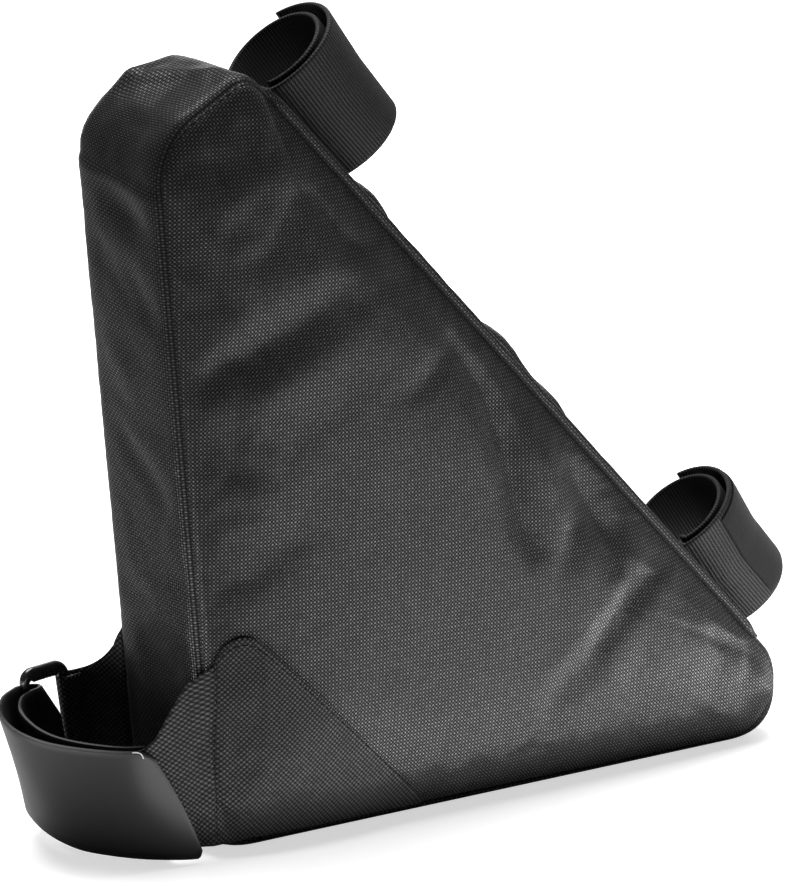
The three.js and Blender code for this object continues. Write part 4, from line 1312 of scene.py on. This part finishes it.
SLACK = (2.0, 4.0)  # how far the turn reaches, at its top and lower down, against a round one of its width
INNER_START = 0.2  # share of the way where the inner run begins, under the front wing
INNER_STEPS, TURN_STEPS, OUTER_STEPS = 73, 22, 110
STRAP_UNEVEN = (26.0, 0.25)  # size and height of its unevenness
STRAP_OUTSIDE = [-400, 0, 30]  # a point far off that its outer side looks at


def turn_point(high, angle):
    """Point of the strap where it turns about the ring's near bar."""
    inner, outer = strap_point(1, high, apart_at(1)), strap_point(1, high, 0)
    centre = (inner + outer) / 2
    side = inner - centre
    slack = SLACK[0] + (SLACK[1] - SLACK[0]) * min(max((0.99 - high) / 0.3, 0), 1)
    ahead = RING_ALONG * np.linalg.norm(side) * slack
    return centre + side * math.cos(angle) + ahead * math.sin(angle)


def coated_strap():
    shares = rounded_rows(22)
    rows = [[strap_point(t, h, apart_at(t)) for h in shares]
            for t in np.linspace(INNER_START, 1, INNER_STEPS + 1)[:-1]]
    rows += [[turn_point(h, angle) for h in shares] for angle in np.linspace(0, math.pi, TURN_STEPS)]
    rows += [[strap_point(1 + (free_end(h) - 1) * share, h, 0) for h in shares]
             for share in np.linspace(0, 1, OUTER_STEPS)[1:]]
    grid = np.array(rows)
    length = length_along(grid[:, len(shares) // 2])
    uv = spread(length[:, None], shares[None] * STRAP_HIGH)
    wave = ripple(uv.reshape(-1, 2), STRAP_UNEVEN[0], 91.0).reshape(uv.shape[:2])
    grid = grid + grid_normals(grid) * (STRAP_UNEVEN[1] * wave)[..., None]
    thickness = np.broadcast_to(rim_thickness(shares, STRAP_HIGH, STRAP_THICK)[None], uv.shape[:2]).copy()
    thickness *= np.clip(np.minimum(length, length[-1] - length) / 0.7, 0.45, 1)[:, None]
    piece = shell("coated_strap_band", grid, uv, coated, STRAP_OUTSIDE, thickness[..., None], centred=True)
    piece.data.materials.append(backing)  # for the side that faces inwards
    count = (len(grid) - 1) * (len(shares) - 1)
    hidden_side = np.zeros(len(piece.data.polygons), np.int32)
    hidden_side[count:2 * count] = 1
    piece.data.polygons.foreach_set("material_index", hidden_side)
    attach(piece, "root")
    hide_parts("wing_strap")
    print("coated strap:", round(length[-1]), "mm long,", len(piece.data.polygons), "faces")


coated_strap()


# %% Make the loose thread end
THREAD_POINTS, THREAD_SIDES, THREAD_RADIUS = 15, 8, 0.18
END_WAY = [(0.247, 0.998), (0.236, 1.0), (0.224, 0.985), (0.219, 0.94)]  # shares of way and of height


def thread_end(path):
    """A short pale end of sewing thread at the corner of the strap, as a thin closed tube."""
    way = np.array([through(path, t) for t in np.linspace(0, 1, THREAD_POINTS)])
    ahead = np.gradient(way, axis=0)
    ahead /= np.linalg.norm(ahead, axis=1, keepdims=True)
    aside = np.cross(ahead, [0.3, 0.9, 0.3])
    aside /= np.linalg.norm(aside, axis=1, keepdims=True)
    above = np.cross(aside, ahead)
    angle = np.linspace(0, 2 * math.pi, THREAD_SIDES, endpoint=False)[None, :, None]
    rings = way[:, None] + THREAD_RADIUS * (np.cos(angle) * aside[:, None] + np.sin(angle) * above[:, None])
    uv = spread(np.linspace(0, 10, THREAD_POINTS)[:, None], angle[..., 0])
    piece = closed_tube("loose_thread_end", rings, uv, pale_thread)
    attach(piece, "root")


thread_end([strap_point(t, high, -1.05) for t, high in END_WAY])

# %% [markdown]
# ## The wings
# A wing is a triangle of coarse cloth sewn flat on a panel. It lies on whatever the panel does underneath, so
# its height is found by looking at the finished panel from outside, and then smoothed, because the stiff
# cloth doesn't follow small wrinkles. Past the seam it runs out as a tail that narrows to the strap.

# %% Wing shape
WING_THICK, WING_HIGH, WING_LONG, WING_LOW = 1.2, 77.0, 87.0, 5.5
WING_TOP = [(-0.035, 0.86), (0.0, 0.95), (0.06, 1), (0.12, 0.995), (0.17, 0.95), (0.45, 0.625), (0.75, 0.27),
            (0.97, 0.02)]
FRONT_TAIL = [(0, 0.83, 0), (0.12, 0.765, 0), (0.28, 0.66, 0), (0.4, 0.575, 0), (0.55, 0.52, 0), (1, 0.5, 0)]
REAR_TAIL = [(0, 0.92, 0), (0.12, 0.86, 0), (0.25, 0.775, 0.01), (0.5, 0.695, 0.03), (0.75, 0.66, 0.06),
             (1, 0.65, 0.08)]  # a tail's rows: share of its way, its upper and its lower height
REAR_FLARE = 4.0
WING_ROWS = rounded_rows(40, 0.012)
WING_COLUMNS = 64
WING_LIFT = 0.55 + WING_THICK / 2
SOFT_PASSES, CLOSE_PASSES = 14, 3  # the cloth bridges hollows, but stays over what stands out
SEAM_BEFORE, SEAM_AFTER = 12, 8  # columns that are smoothed on both sides of the seam


def wing_height(share):
    return WING_LOW + WING_HIGH * share


def wing_grid(side, flare, tail, tail_point, tail_steps):
    """Grid of a wing: columns from its tip to the seam, and then the tail."""
    columns = []
    for t in np.linspace(1, 0, WING_COLUMNS):
        along, high = through(WING_TOP, t)
        columns.append([(along * WING_LONG - flare, 0, wing_height(high * s)) for s in WING_ROWS])
    flat = np.array(columns)
    flat[..., 1] = [[lies_at(p[0], p[2], side) for p in column] for column in flat]
    soft, close = smoothed(flat[..., 1], SOFT_PASSES), smoothed(flat[..., 1], CLOSE_PASSES)
    outer = np.maximum(soft * side, close * side) * side
    flat[..., 1] = outer + side * WING_LIFT
    ends = []
    for k in range(1, tail_steps + 1):
        out, high, low = through(tail, k / tail_steps)
        ends.append([tail_point(out, wing_height(low + (high - low) * s)) for s in WING_ROWS])
    joined = np.concatenate([flat, np.array(ends)])
    for axis in (0, 1):
        part = joined[WING_COLUMNS - SEAM_BEFORE:WING_COLUMNS + SEAM_AFTER, :, axis]
        part[:] = smoothed(part, 6) * 0.7 + part * 0.3
    return joined


def wing_uv(grid):
    """Distance along the lower edge, and height."""
    return spread(length_along(grid[:, 4, :2])[:, None], grid[..., 2])


def wing_piece(name, node, grid, side):
    uv = wing_uv(grid)
    thickness = np.broadcast_to(rim_thickness(WING_ROWS, WING_HIGH * 0.7, WING_THICK)[None], uv.shape[:2])
    outside = np.array([40, side * FAR, 40])
    piece = shell(name, grid, uv, wing_cloth, outside, thickness[..., None], centred=True)
    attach(piece, "root")
    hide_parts(node)


TAIL_INSIDE = 2.35  # how far inside the strap's outer run the front tail lies
TAIL_FROM, TAIL_TO = 0.04, 0.36  # shares of the strap's way that it covers


def front_tail_point(out, z):
    at = strap_point(TAIL_FROM + (TAIL_TO - TAIL_FROM) * out, (z - STRAP_FLOOR) / STRAP_HIGH, TAIL_INSIDE)
    return np.array([at[0], at[1], z])


front_wing_grid = wing_grid(-1, 0, FRONT_TAIL, front_tail_point, 34)
wing_piece("front_wing_cloth", "front_wing", front_wing_grid, -1)


# %% Rear wing, which turns about the far bar of the ring
def bezier(a, b, c, d, t):
    s = 1 - t
    return a * s ** 3 + 3 * b * s * s * t + 3 * c * s * t * t + d * t ** 3


RING_MIDDLE = RING_FLOOR + RING_HIGH / 2
BAR_CLEAR = RING_BAR / 2 + 0.3 + WING_THICK / 2
REAR_START = np.array([-REAR_FLARE - 4, DEPTH / 2 + 0.3 + WING_THICK / 2, 0])
REAR_ARRIVE = FAR_BAR + RING_ACROSS * BAR_CLEAR
REAR_PLAN = (REAR_START, REAR_START + [-6, 3, 0], REAR_ARRIVE + RING_ALONG * 6, REAR_ARRIVE)


def rear_tail_point(out, z):
    lean = RING_ALONG * RING_LEAN * (z - RING_MIDDLE) * out ** 2
    return bezier(*REAR_PLAN, out) * [1, 1, 0] + [0, 0, z] - lean


def leaned(point, z):
    """A point of the ring's plan at a height, on the ring's lean."""
    return point * [1, 1, 0] + [0, 0, z] - RING_ALONG * RING_LEAN * (z - RING_MIDDLE)


rear_wing_grid = wing_grid(1, REAR_FLARE, REAR_TAIL, rear_tail_point, 24)
HEM_LONG = 7  # from the bar back towards the bag
around = [FAR_BAR + RING_ACROSS * BAR_CLEAR * math.cos(angle) - RING_ALONG * BAR_CLEAR * math.sin(angle)
          for angle in np.linspace(0, math.pi, 15)[1:]]
around += [FAR_BAR - RING_ACROSS * BAR_CLEAR + RING_ALONG * HEM_LONG * share
           for share in np.linspace(0, 1, 6)[1:]]
hem = np.array([[leaned(point, p[2]) for p in rear_wing_grid[-1]] for point in around])
rear_wing_grid = np.concatenate([rear_wing_grid, hem])
wing_piece("rear_wing_cloth", "rear_wing", rear_wing_grid, 1)

# %% [markdown]
# ## The ring
# The ring is moulded in one piece: a rectangle with rounded corners and a bar that is flatter than round. Its
# section is carried round the rectangle, and the last section joins the first.

# %% Make the ring
RING_STOUT = 1.3  # the end bars are this much stouter inwards than the side bars
RING_CORNER = 4.2
CORNER_STEPS, SECTION_SIDES = 10, 20
SQUARENESS = 2.6  # 2 gives a round section, more a squarer one
FLATTER = 0.95


def ring_path():
    """Points and outward directions round the middle of the ring's bars, in the ring's own plane."""
    half_high = (RING_HIGH - RING_BAR) / 2
    path = []
    for sx, sz, start in ((1, 1, 0), (-1, 1, 90), (-1, -1, 180), (1, -1, 270)):
        middle = np.array([sx * (RING_HALF - RING_CORNER), sz * (half_high - RING_CORNER)])
        for i in range(CORNER_STEPS + 1):
            angle = math.radians(start + 90 * i / CORNER_STEPS)
            direction = np.array([math.cos(angle), math.sin(angle)])
            path.append((middle + direction * RING_CORNER, direction))
    return path


def ring_section(centre, at, out):
    """The points of one section of the bar."""
    points = []
    for k in range(SECTION_SIDES):
        angle = 2 * math.pi * k / SECTION_SIDES
        c, s = math.cos(angle), math.sin(angle)
        square = (abs(c) ** SQUARENESS + abs(s) ** SQUARENESS) ** (-1 / SQUARENESS)
        reach, deep = c * square * RING_BAR / 2, s * square * RING_BAR / 2 * FLATTER
        if reach < 0:
            reach *= 1 + RING_STOUT * abs(out[1]) ** 2
        flat = at + out * reach
        points.append(centre + RING_ALONG * (flat[0] - RING_LEAN * flat[1]) + RING_ACROSS * deep
                      + [0, 0, flat[1]])
    return points


def ring_piece():
    centre = (NEAR_BAR + FAR_BAR) / 2 + [0, 0, RING_MIDDLE]
    rings = np.array([ring_section(centre, at, out) for at, out in ring_path()])
    count, sides = rings.shape[:2]
    faces = quads(count + 1, sides, True) % (count * sides)
    points = rings.reshape(-1, 3)
    if volume_of(points, faces) < 0:
        faces = faces[:, ::-1]
    uv = np.stack(np.meshgrid(np.arange(count) * 3.0, np.arange(sides) * 0.5, indexing="ij"), -1)
    piece = add_mesh("moulded_ring", points, faces, uv.reshape(-1, 2), np.full(len(points), 0.3), plastic, 60)
    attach(piece, "root")
    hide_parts("strap_ring")
    return piece


ring = ring_piece()
print("ring:", len(ring.data.polygons), "faces")

# %% [markdown]
# ## Stitches and other rows
# Stitches, and the teeth of the zip, are small shapes repeated along a line, which is what Geometry Nodes
# are for. The tree takes a line of points that knows which way it faces, walks along it in even steps, puts a
# small rounded grain on each step, and turns it along the line. Hand and machine are never quite even, so
# each grain is a little larger or smaller, from a fixed seed.

# %% The row tree
ROW_SIZES = [  # name, kind of socket, first value
    ("Pitch", "NodeSocketFloat", 0.0033), ("Along", "NodeSocketFloat", 0.0026),
    ("Across", "NodeSocketFloat", 0.0006), ("High", "NodeSocketFloat", 0.0005),
    ("Zigzag", "NodeSocketFloat", 0.0), ("Unevenness", "NodeSocketFloat", 0.12),
    ("Seed", "NodeSocketInt", 1), ("Material", "NodeSocketMaterial", None)]
GRAIN_SEGMENTS, GRAIN_RINGS = 6, 4


def row_node(tree, kind, settings=None, **inputs):
    """A node with its settings, whose inputs are numbers or sockets, given by name with _ for each space."""
    node = tree.nodes.new(kind)
    for name, value in (settings or {}).items():
        setattr(node, name, value)
    for name, value in inputs.items():
        socket = node.inputs[name.replace("_", " ")]
        if isinstance(value, bpy.types.NodeSocket):
            tree.links.new(value, socket)
        else:
            socket.default_value = value
    return node


def make_row_tree():
    tree = bpy.data.node_groups.new("row_along_line", "GeometryNodeTree")
    tree.interface.new_socket("Geometry", in_out="INPUT", socket_type="NodeSocketGeometry")
    for name, kind, value in ROW_SIZES:
        socket = tree.interface.new_socket(name, in_out="INPUT", socket_type=kind)
        if value is not None:
            socket.default_value = value
    tree.interface.new_socket("Geometry", in_out="OUTPUT", socket_type="NodeSocketGeometry")
    given = tree.nodes.new("NodeGroupInput").outputs
    line = row_node(tree, "GeometryNodeMeshToCurve", Mesh=given["Geometry"])
    steps = row_node(tree, "GeometryNodeResampleCurve", dict(mode="LENGTH"), Curve=line.outputs[0],
                     Length=given["Pitch"])
    ball = row_node(tree, "GeometryNodeMeshUVSphere", Segments=GRAIN_SEGMENTS, Rings=GRAIN_RINGS, Radius=0.5)
    sizes = row_node(tree, "ShaderNodeCombineXYZ", X=given["Along"], Y=given["Across"], Z=given["High"])
    grain = row_node(tree, "GeometryNodeTransform", Geometry=ball.outputs["Mesh"], Scale=sizes.outputs[0])
    tangent = row_node(tree, "GeometryNodeInputTangent")
    facing = row_node(tree, "GeometryNodeInputNamedAttribute", dict(data_type="FLOAT_VECTOR"), Name="facing")
    ahead = row_node(tree, "FunctionNodeAlignRotationToVector", dict(axis="X"), Vector=tangent.outputs[0])
    upright = row_node(tree, "FunctionNodeAlignRotationToVector", dict(axis="Z", pivot_axis="X"),
                       Rotation=ahead.outputs[0], Vector=facing.outputs["Attribute"])
    chance = row_node(tree, "FunctionNodeRandomValue", dict(data_type="FLOAT"))
    numbers = [socket for socket in chance.inputs if socket.type == "VALUE"]
    tree.links.new(math_node(tree, "SUBTRACT", 1.0, given["Unevenness"]), numbers[0])
    tree.links.new(math_node(tree, "ADD", 1.0, given["Unevenness"]), numbers[1])
    tree.links.new(given["Seed"], chance.inputs["Seed"])
    drawn = next(socket for socket in chance.outputs if socket.type == "VALUE")
    placed = row_node(tree, "GeometryNodeInstanceOnPoints", Points=steps.outputs[0],
                      Instance=grain.outputs[0], Rotation=upright.outputs[0], Scale=drawn)
    parity = math_node(tree, "MODULO", tree.nodes.new("GeometryNodeInputIndex").outputs[0], 2.0)
    swing = math_node(tree, "MULTIPLY", math_node(tree, "SUBTRACT", parity, 0.5), given["Zigzag"])
    aside = row_node(tree, "ShaderNodeCombineXYZ", Y=swing)
    moved = row_node(tree, "GeometryNodeTranslateInstances", Instances=placed.outputs[0],
                     Translation=aside.outputs[0])
    real = row_node(tree, "GeometryNodeRealizeInstances", Geometry=moved.outputs[0])
    smooth = row_node(tree, "GeometryNodeSetShadeSmooth", Geometry=real.outputs[0])
    coloured = row_node(tree, "GeometryNodeSetMaterial", Geometry=smooth.outputs[0],
                        Material=given["Material"])
    out = tree.nodes.new("NodeGroupOutput")
    tree.links.new(coloured.outputs[0], out.inputs[0])
    return tree


row_tree = make_row_tree()
row_sockets = {item.name: item.identifier for item in row_tree.interface.items_tree if item.in_out == "INPUT"}
print("row tree:", len(row_tree.nodes), "nodes, inputs", sorted(row_sockets))


# %% Lay a row along lines
def row_along(name, lines, slot, material, **sizes):
    """A plain mesh of grains along lines. Each line is (points, facing), in millimetres."""
    mesh = bpy.data.meshes.new(name + "_line")
    edges, first = [], 0
    for points, _ in lines:
        edges += [(first + k, first + k + 1) for k in range(len(points) - 1)]
        first += len(points)
    mesh.from_pydata(place(np.concatenate([points for points, _ in lines])).tolist(), [], edges)
    attribute = mesh.attributes.new("facing", "FLOAT_VECTOR", "POINT")
    facing = np.concatenate([np.broadcast_to(facing, points.shape) for points, facing in lines])
    attribute.data.foreach_set("vector", facing.astype(np.float32).ravel())
    guide = add_object(name + "_line", mesh)
    modifier = guide.modifiers.new("row", "NODES")
    modifier.node_group = row_tree
    modifier[row_sockets["Material"]] = material
    for size, value in sizes.items():
        modifier[row_sockets[size]] = value
    row = baked_copy(guide, name)
    bpy.data.objects.remove(guide)
    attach(row, "root")
    print(name, len(row.data.polygons), "faces")


SEAM_STITCH = dict(Pitch=0.0033, Along=0.0026, Across=0.0005, High=0.0005)
STITCH_INSET = 1  # ring of the panel's grid that the seam's stitches lie on
STITCH_LIFT = 0.05


def seam_line(grid, normals, side):
    """The line of a panel's seam stitches, and which way they face."""
    facing = np.stack([normals[:, 0] * 0.5, np.full(len(normals), side * 1.0), normals[:, 1] * 0.5], 1)
    facing /= np.linalg.norm(facing, axis=1, keepdims=True)
    line = grid[STITCH_INSET] + facing * STITCH_LIFT
    return np.concatenate([line, line[:1]]), np.concatenate([facing, facing[:1]])


row_along("front_seam_stitches", [seam_line(front_grid, front_normals, -1)], "panel_cloth", thread,
          Seed=3, **SEAM_STITCH)
row_along("rear_seam_stitches", [seam_line(rear_grid, rear_normals, 1)], "panel_cloth", thread,
          Seed=4, **SEAM_STITCH)


# %% Stitches of the wings
def offset_line(grid, rows, columns, side, lift):
    """Points of a grid picked by row and column, lifted off the cloth."""
    normal = grid_normals(grid)
    if (normal[..., 1] * side).mean() < 0:
        normal = -normal
    return grid[rows, columns] + normal[rows, columns] * lift, normal[rows, columns]


WING_STITCH = dict(Pitch=0.003, Along=0.0024, Across=0.00055, High=0.00045)
STITCH_ROW = 4  # row of a wing's grid, counted from its slanted upper edge
STITCH_COLUMN = 58  # column of the stitches at the seam


def wing_rows(grid, side):
    """Two lines: along the slanted edge of a wing, and across its tail at the seam."""
    lift = WING_THICK / 2 + 0.1
    slope = np.arange(4, WING_COLUMNS - 2)
    down = len(WING_ROWS) - 1 - STITCH_ROW
    across = np.arange(5, down)
    return [offset_line(grid, slope, np.full(len(slope), down), side, lift),
            offset_line(grid, np.full(len(across), STITCH_COLUMN), across, side, lift)]


row_along("front_wing_stitches", wing_rows(front_wing_grid, -1), "wing_cloth", thread, Seed=7, **WING_STITCH)
row_along("rear_wing_stitches", wing_rows(rear_wing_grid, 1), "wing_cloth", thread, Seed=8, **WING_STITCH)

# %% [markdown]
# ## The pile patch
# The lower loop closes with hook and loop: the soft pile is sewn on the outside of its free end, and looks
# smooth and dull next to the ribs. It is a thin sheet that follows the band's own formula, a little further
# out.

# %% Make the pile patch
PATCH_TURNS, PATCH_SHARES, PATCH_THICK = (1.03, 1.365), (0.05, 0.95), 0.9
PATCH_WIDTH = BAND_WIDTH * 0.9


def patch_grid(shape, lift):
    turns = np.linspace(*PATCH_TURNS, 60)
    shares = np.linspace(*PATCH_SHARES, 24)
    grid = np.array([[loop_point(shape, t, s) for s in shares] for t in turns])
    normal = grid_normals(grid)
    outwards = grid - grid.mean((0, 1)) + [20.0, -20.0, 20.0]
    if (normal * outwards).sum(2).mean() < 0:
        normal = -normal
    return grid + normal * lift, turns, shares


flat_patch, patch_turns, patch_shares = patch_grid(LOOPS["lower_strap"], BAND_THICK / 2 + RIB_HEIGHT + 0.3)
patch_length = np.linalg.norm(np.diff(flat_patch[:, 12], axis=0), axis=1).sum()
patch_uv = spread(patch_shares[None] * BAND_WIDTH, np.linspace(0, patch_length, len(patch_turns))[:, None])
rounding = rim_thickness((patch_shares - PATCH_SHARES[0]) / (PATCH_SHARES[1] - PATCH_SHARES[0]),
                         PATCH_WIDTH, PATCH_THICK)
patch = shell("lower_pile_patch", flat_patch, patch_uv, pile, [FAR, 0, FAR],
              np.broadcast_to(rounding, patch_uv.shape[:2])[..., None], centred=True)
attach(patch, "root")
print("pile patch:", round(patch_length), "mm long")

# %% [markdown]
# ## The zip
# The photograph doesn't show how the bag opens. A plain coil zip below the slanted edge of the rear panel is
# the usual answer. It is two woven tapes that meet on the centre line, a coil of plastic teeth laid along it
# by the row tree, stops at both ends, and a slider with a pull.

# %% Zip tapes
ZIP_LONG, ZIP_WIDE, ZIP_INSET, ZIP_START = 210.0, 16.0, 30.0, 50.0
ZIP_ALONG = (SHARP["nose"] - SHARP["apex"]) / np.linalg.norm(SHARP["nose"] - SHARP["apex"])
ZIP_IN = np.array([ZIP_ALONG[1], -ZIP_ALONG[0]])
TAPE_THICK = 0.7
COIL_LIFT, COIL_WIDE = 0.7, 3.0  # how the coil lifts the tape's middle
BACKWARDS = (0.0, 1.0, 0.0)


def zip_point(along, aside):
    """Point of the zip's plane, along from its upper end and aside from its centre line."""
    return SHARP["apex"] + ZIP_ALONG * (ZIP_START + along) + ZIP_IN * (ZIP_INSET + aside)


def zip_surface(alongs, asides, lift):
    """Grid of points over the rear panel."""
    grid = np.empty((len(alongs), len(asides), 3))
    for i, along in enumerate(alongs):
        for j, aside in enumerate(asides):
            x, z = zip_point(along, aside)
            grid[i, j] = x, lies_at(x, z, 1), z
    grid[..., 1] = smoothed(grid[..., 1], 6) + lift
    return grid


zip_alongs = np.linspace(0, ZIP_LONG, 84)
tape_asides = np.array([-8, -7.8, -7.2, -5, -3.4, -2.6, -1.6, 0, 1.6, 2.6, 3.4, 5, 7.2, 7.8, 8])
tape_grid = zip_surface(zip_alongs, tape_asides, TAPE_THICK / 2 + 0.35)
tape_grid[..., 1] += COIL_LIFT * np.exp(-(tape_asides / COIL_WIDE) ** 4)[None]
tape_uv = spread(zip_alongs[:, None], tape_asides[None])
tape_rim = rim_thickness(tape_asides / ZIP_WIDE + 0.5, ZIP_WIDE, TAPE_THICK)
tapes = shell("zip_tapes", tape_grid, tape_uv, zip_tape, [80, FAR, 100],
              np.broadcast_to(tape_rim, tape_uv.shape[:2])[..., None], centred=True)
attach(tapes, "root")
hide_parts("rear_zip")

# %% Zip teeth, stops and stitches
TEETH_FROM, TEETH_TO = 5.0, 205.0
STOPS_AT = (3.4, 205.6)
NEAR_MIDDLE = np.array([-1.0, 0, 1.0])
middle_line = zip_surface(np.linspace(TEETH_FROM, TEETH_TO, 80), NEAR_MIDDLE, TAPE_THICK + 1.35)[:, 1]
row_along("zip_teeth", [(middle_line, BACKWARDS)], "zip", zip_plastic, Seed=11, Pitch=0.00125,
          Along=0.0009, Across=0.0036, High=0.0011, Zigzag=0.0016, Unevenness=0.02)
tape_rows = zip_surface(np.linspace(2, 208, 80), np.array([-6.0, -5.8, 5.8, 6.0]), TAPE_THICK + 0.45)
row_along("zip_stitches", [(tape_rows[:, 1], BACKWARDS), (tape_rows[:, 2], BACKWARDS)], "zip", thread,
          Seed=12, Pitch=0.003, Along=0.0024, Across=0.0005, High=0.00045)
stop_asides = np.array([-3.0, -1.0, 1.0, 3.0])
stop_lines = [(zip_surface(np.array([at, at + 0.5]), stop_asides, TAPE_THICK + 1.3)[0], BACKWARDS)
              for at in STOPS_AT]
row_along("zip_stops", stop_lines, "zip", zip_plastic, Seed=13, Pitch=0.0015, Along=0.0019, Across=0.0028,
          High=0.0014, Unevenness=0.0)


# %% Slider and pull
def rounded_plate(name, outline_points, low, high):
    """A plate of the slider with softened edges. outline_points are (along, aside)."""
    middle = outline_points.mean(0)
    reach = np.linalg.norm(outline_points - middle, axis=1, keepdims=True)
    rings = []
    levels = ((low, SOFT_EDGE), (low + SOFT_EDGE, 0.0), (high - SOFT_EDGE, 0.0), (high, SOFT_EDGE))
    for level, shrink in levels:
        ring = middle + (outline_points - middle) * (1 - shrink / np.maximum(reach, 1.0))
        places = [zip_point(*point) for point in ring]
        rings.append([(x, slider_base + level, z) for x, z in places])
    uv = spread(np.arange(len(outline_points))[None] * 1.0, np.arange(len(rings))[:, None] * 1.0)
    return closed_tube(name, np.array(rings), uv, plastic, 40)


def rounder(values):
    """Values of a sine or cosine pushed outwards, which makes a circle squarer."""
    return np.sign(values) * np.abs(values) ** 0.6


SLIDER_AT = 12.0
SOFT_EDGE = 0.25
slider_base = zip_surface(np.array([SLIDER_AT, SLIDER_AT + 1.0]), NEAR_MIDDLE, 0)[0, 1, 1]
turns_round = np.linspace(0, 2 * math.pi, 28, endpoint=False)
ahead, aside = np.cos(turns_round), np.sin(turns_round)
SLIDER_PARTS = [  # name, points (along, aside) from the slider's middle, lower and upper level over the tape
    ("zip_slider", np.stack([4.6 * ahead, (3.3 - 0.7 * ahead) * aside], 1), 0.5, 3.1),
    ("zip_bridge", np.stack([0.5 + 3.0 * ahead, 0.9 * aside], 1), 3.0, 4.6),
    ("zip_pull", np.stack([15.0 + 11.0 * rounder(ahead), 2.2 * rounder(aside)], 1), 3.3, 4.5)]
for piece_name, points, low, high in SLIDER_PARTS:
    part = rounded_plate(piece_name, points + [SLIDER_AT, 0], TAPE_THICK + low, TAPE_THICK + high)
    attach(part, "root")
print("zip made")

# %% [markdown]
# ## Floor and light
# The bag stands on a white floor that fills the picture. Black cloth shows its form only by what it
# reflects: the bright floor to the front right lights the panel, and everything that tilts up towards the
# dark room goes black. One soft light from above brightens what faces up and puts a soft shadow under the
# bag, and one stands behind it, where a backdrop would be.

# %% Floor
# how bright the floor is by itself: seen near the bag, seen far from it, and for all but the camera
FLOOR_NEAR, FLOOR_FAR, FLOOR_GLOW = 0.62, 1.0, 0.03
GLOW_FROM, GLOW_TO = 0.25, 1.1  # metres from the bag over which it gets brighter
FLOOR_REACH = 9.0


def floor_material():
    """White floor. To the camera it is bright by itself, so that the picture's ground is white. The bag
    sees it darker."""
    material = bpy.data.materials.new("white_floor")
    material.use_nodes = True
    tree = material.node_tree
    shader = tree.nodes["Principled BSDF"]
    shader.inputs["Base Color"].default_value = (0.8, 0.8, 0.8, 1)
    shader.inputs["Roughness"].default_value = 0.6
    shader.inputs["Specular IOR Level"].default_value = 0.2
    shader.inputs["Emission Color"].default_value = (1, 1, 1, 1)
    rays = tree.nodes.new("ShaderNodeLightPath")
    away = tree.nodes.new("ShaderNodeVectorMath")
    away.operation = "LENGTH"
    link(tree, position(tree), away.inputs[0])
    seen = tree.nodes.new("ShaderNodeMapRange")
    seen.interpolation_type = "SMOOTHSTEP"
    ends = (GLOW_FROM, GLOW_TO, FLOOR_NEAR - FLOOR_GLOW, FLOOR_FAR - FLOOR_GLOW)
    for socket, value in zip(list(seen.inputs)[1:5], ends):
        socket.default_value = value
    link(tree, away.outputs["Value"], seen.inputs["Value"])
    glow = math_node(tree, "MULTIPLY_ADD", rays.outputs["Is Camera Ray"], seen.outputs["Result"], FLOOR_GLOW)
    link(tree, glow, shader.inputs["Emission Strength"])
    return material


floor_mesh = bpy.data.meshes.new("floor")
floor_corners = [(x * FLOOR_REACH, y * FLOOR_REACH, 0) for x, y in ((-1, -1), (1, -1), (1, 1), (-1, 1))]
floor_mesh.from_pydata(floor_corners, [], [(0, 1, 2, 3)])
floor_mesh.materials.append(floor_material())
floor = add_object("floor", floor_mesh)
floor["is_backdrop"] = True


# %% Lights
ON_FLOOR = 0.004


def soft_light(name, where, at, size, power):
    data = bpy.data.lights.new(name, "AREA")
    data.shape = "RECTANGLE"
    data.size, data.size_y = size
    data.energy = power
    light = add_object(name, data)
    light.location = where
    light.rotation_euler = (Vector(at) - Vector(where)).to_track_quat("-Z", "Y").to_euler()
    light.visible_camera = False
    return light


soft_light("top_light", (0.05, 0.35, 1.6), (0, 0, 0.1), (1.2, 1.2), 45)


def bright_floor(name, where, towards_bag, size, power):
    """A flat light on the floor that shines upwards, like white paper in a strong lamp's light."""
    light = soft_light(name, (*where, ON_FLOOR), (*where, 1), size, power)
    ahead = Vector((*towards_bag, 0)).normalized()
    down = Vector((0, 0, -1))
    light.rotation_euler = Matrix((ahead.cross(down), ahead, down)).transposed().to_euler()


bright_floor("bright_floor_right", (0.42, -0.60), (-0.56, 0.83), (0.56, 1.2), 8)
bright_floor("bright_floor_near", (0.1, -0.085), (0, 1), (0.5, 0.07), 0.7)
bright_floor("bright_floor_left", (-0.30, -0.09), (1, 0.2), (0.26, 0.2), 1.0)
soft_light("backdrop_light", (0.75, 1.5, 0.5), (0, 0, 0.12), (2.4, 0.9), 19)

world = bpy.data.worlds.new("room")
world.use_nodes = True
bpy.context.scene.world = world
room = world.node_tree
room.nodes["Background"].inputs["Color"].default_value = (1, 1, 1, 1)
room.nodes["Background"].inputs["Strength"].default_value = 0.05
rays = room.nodes.new("ShaderNodeLightPath")
bright = room.nodes.new("ShaderNodeBackground")
choose = room.nodes.new("ShaderNodeMixShader")
room.links.new(rays.outputs["Is Camera Ray"], choose.inputs[0])
room.links.new(room.nodes["Background"].outputs[0], choose.inputs[1])
room.links.new(bright.outputs[0], choose.inputs[2])
room.links.new(choose.outputs[0], room.nodes["World Output"].inputs[0])
bpy.context.scene.view_settings.view_transform = "Standard"

# %% Write the sizes and finish
low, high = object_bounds()
print("visual box:", [round(v, 4) for v in (*low, *high)])
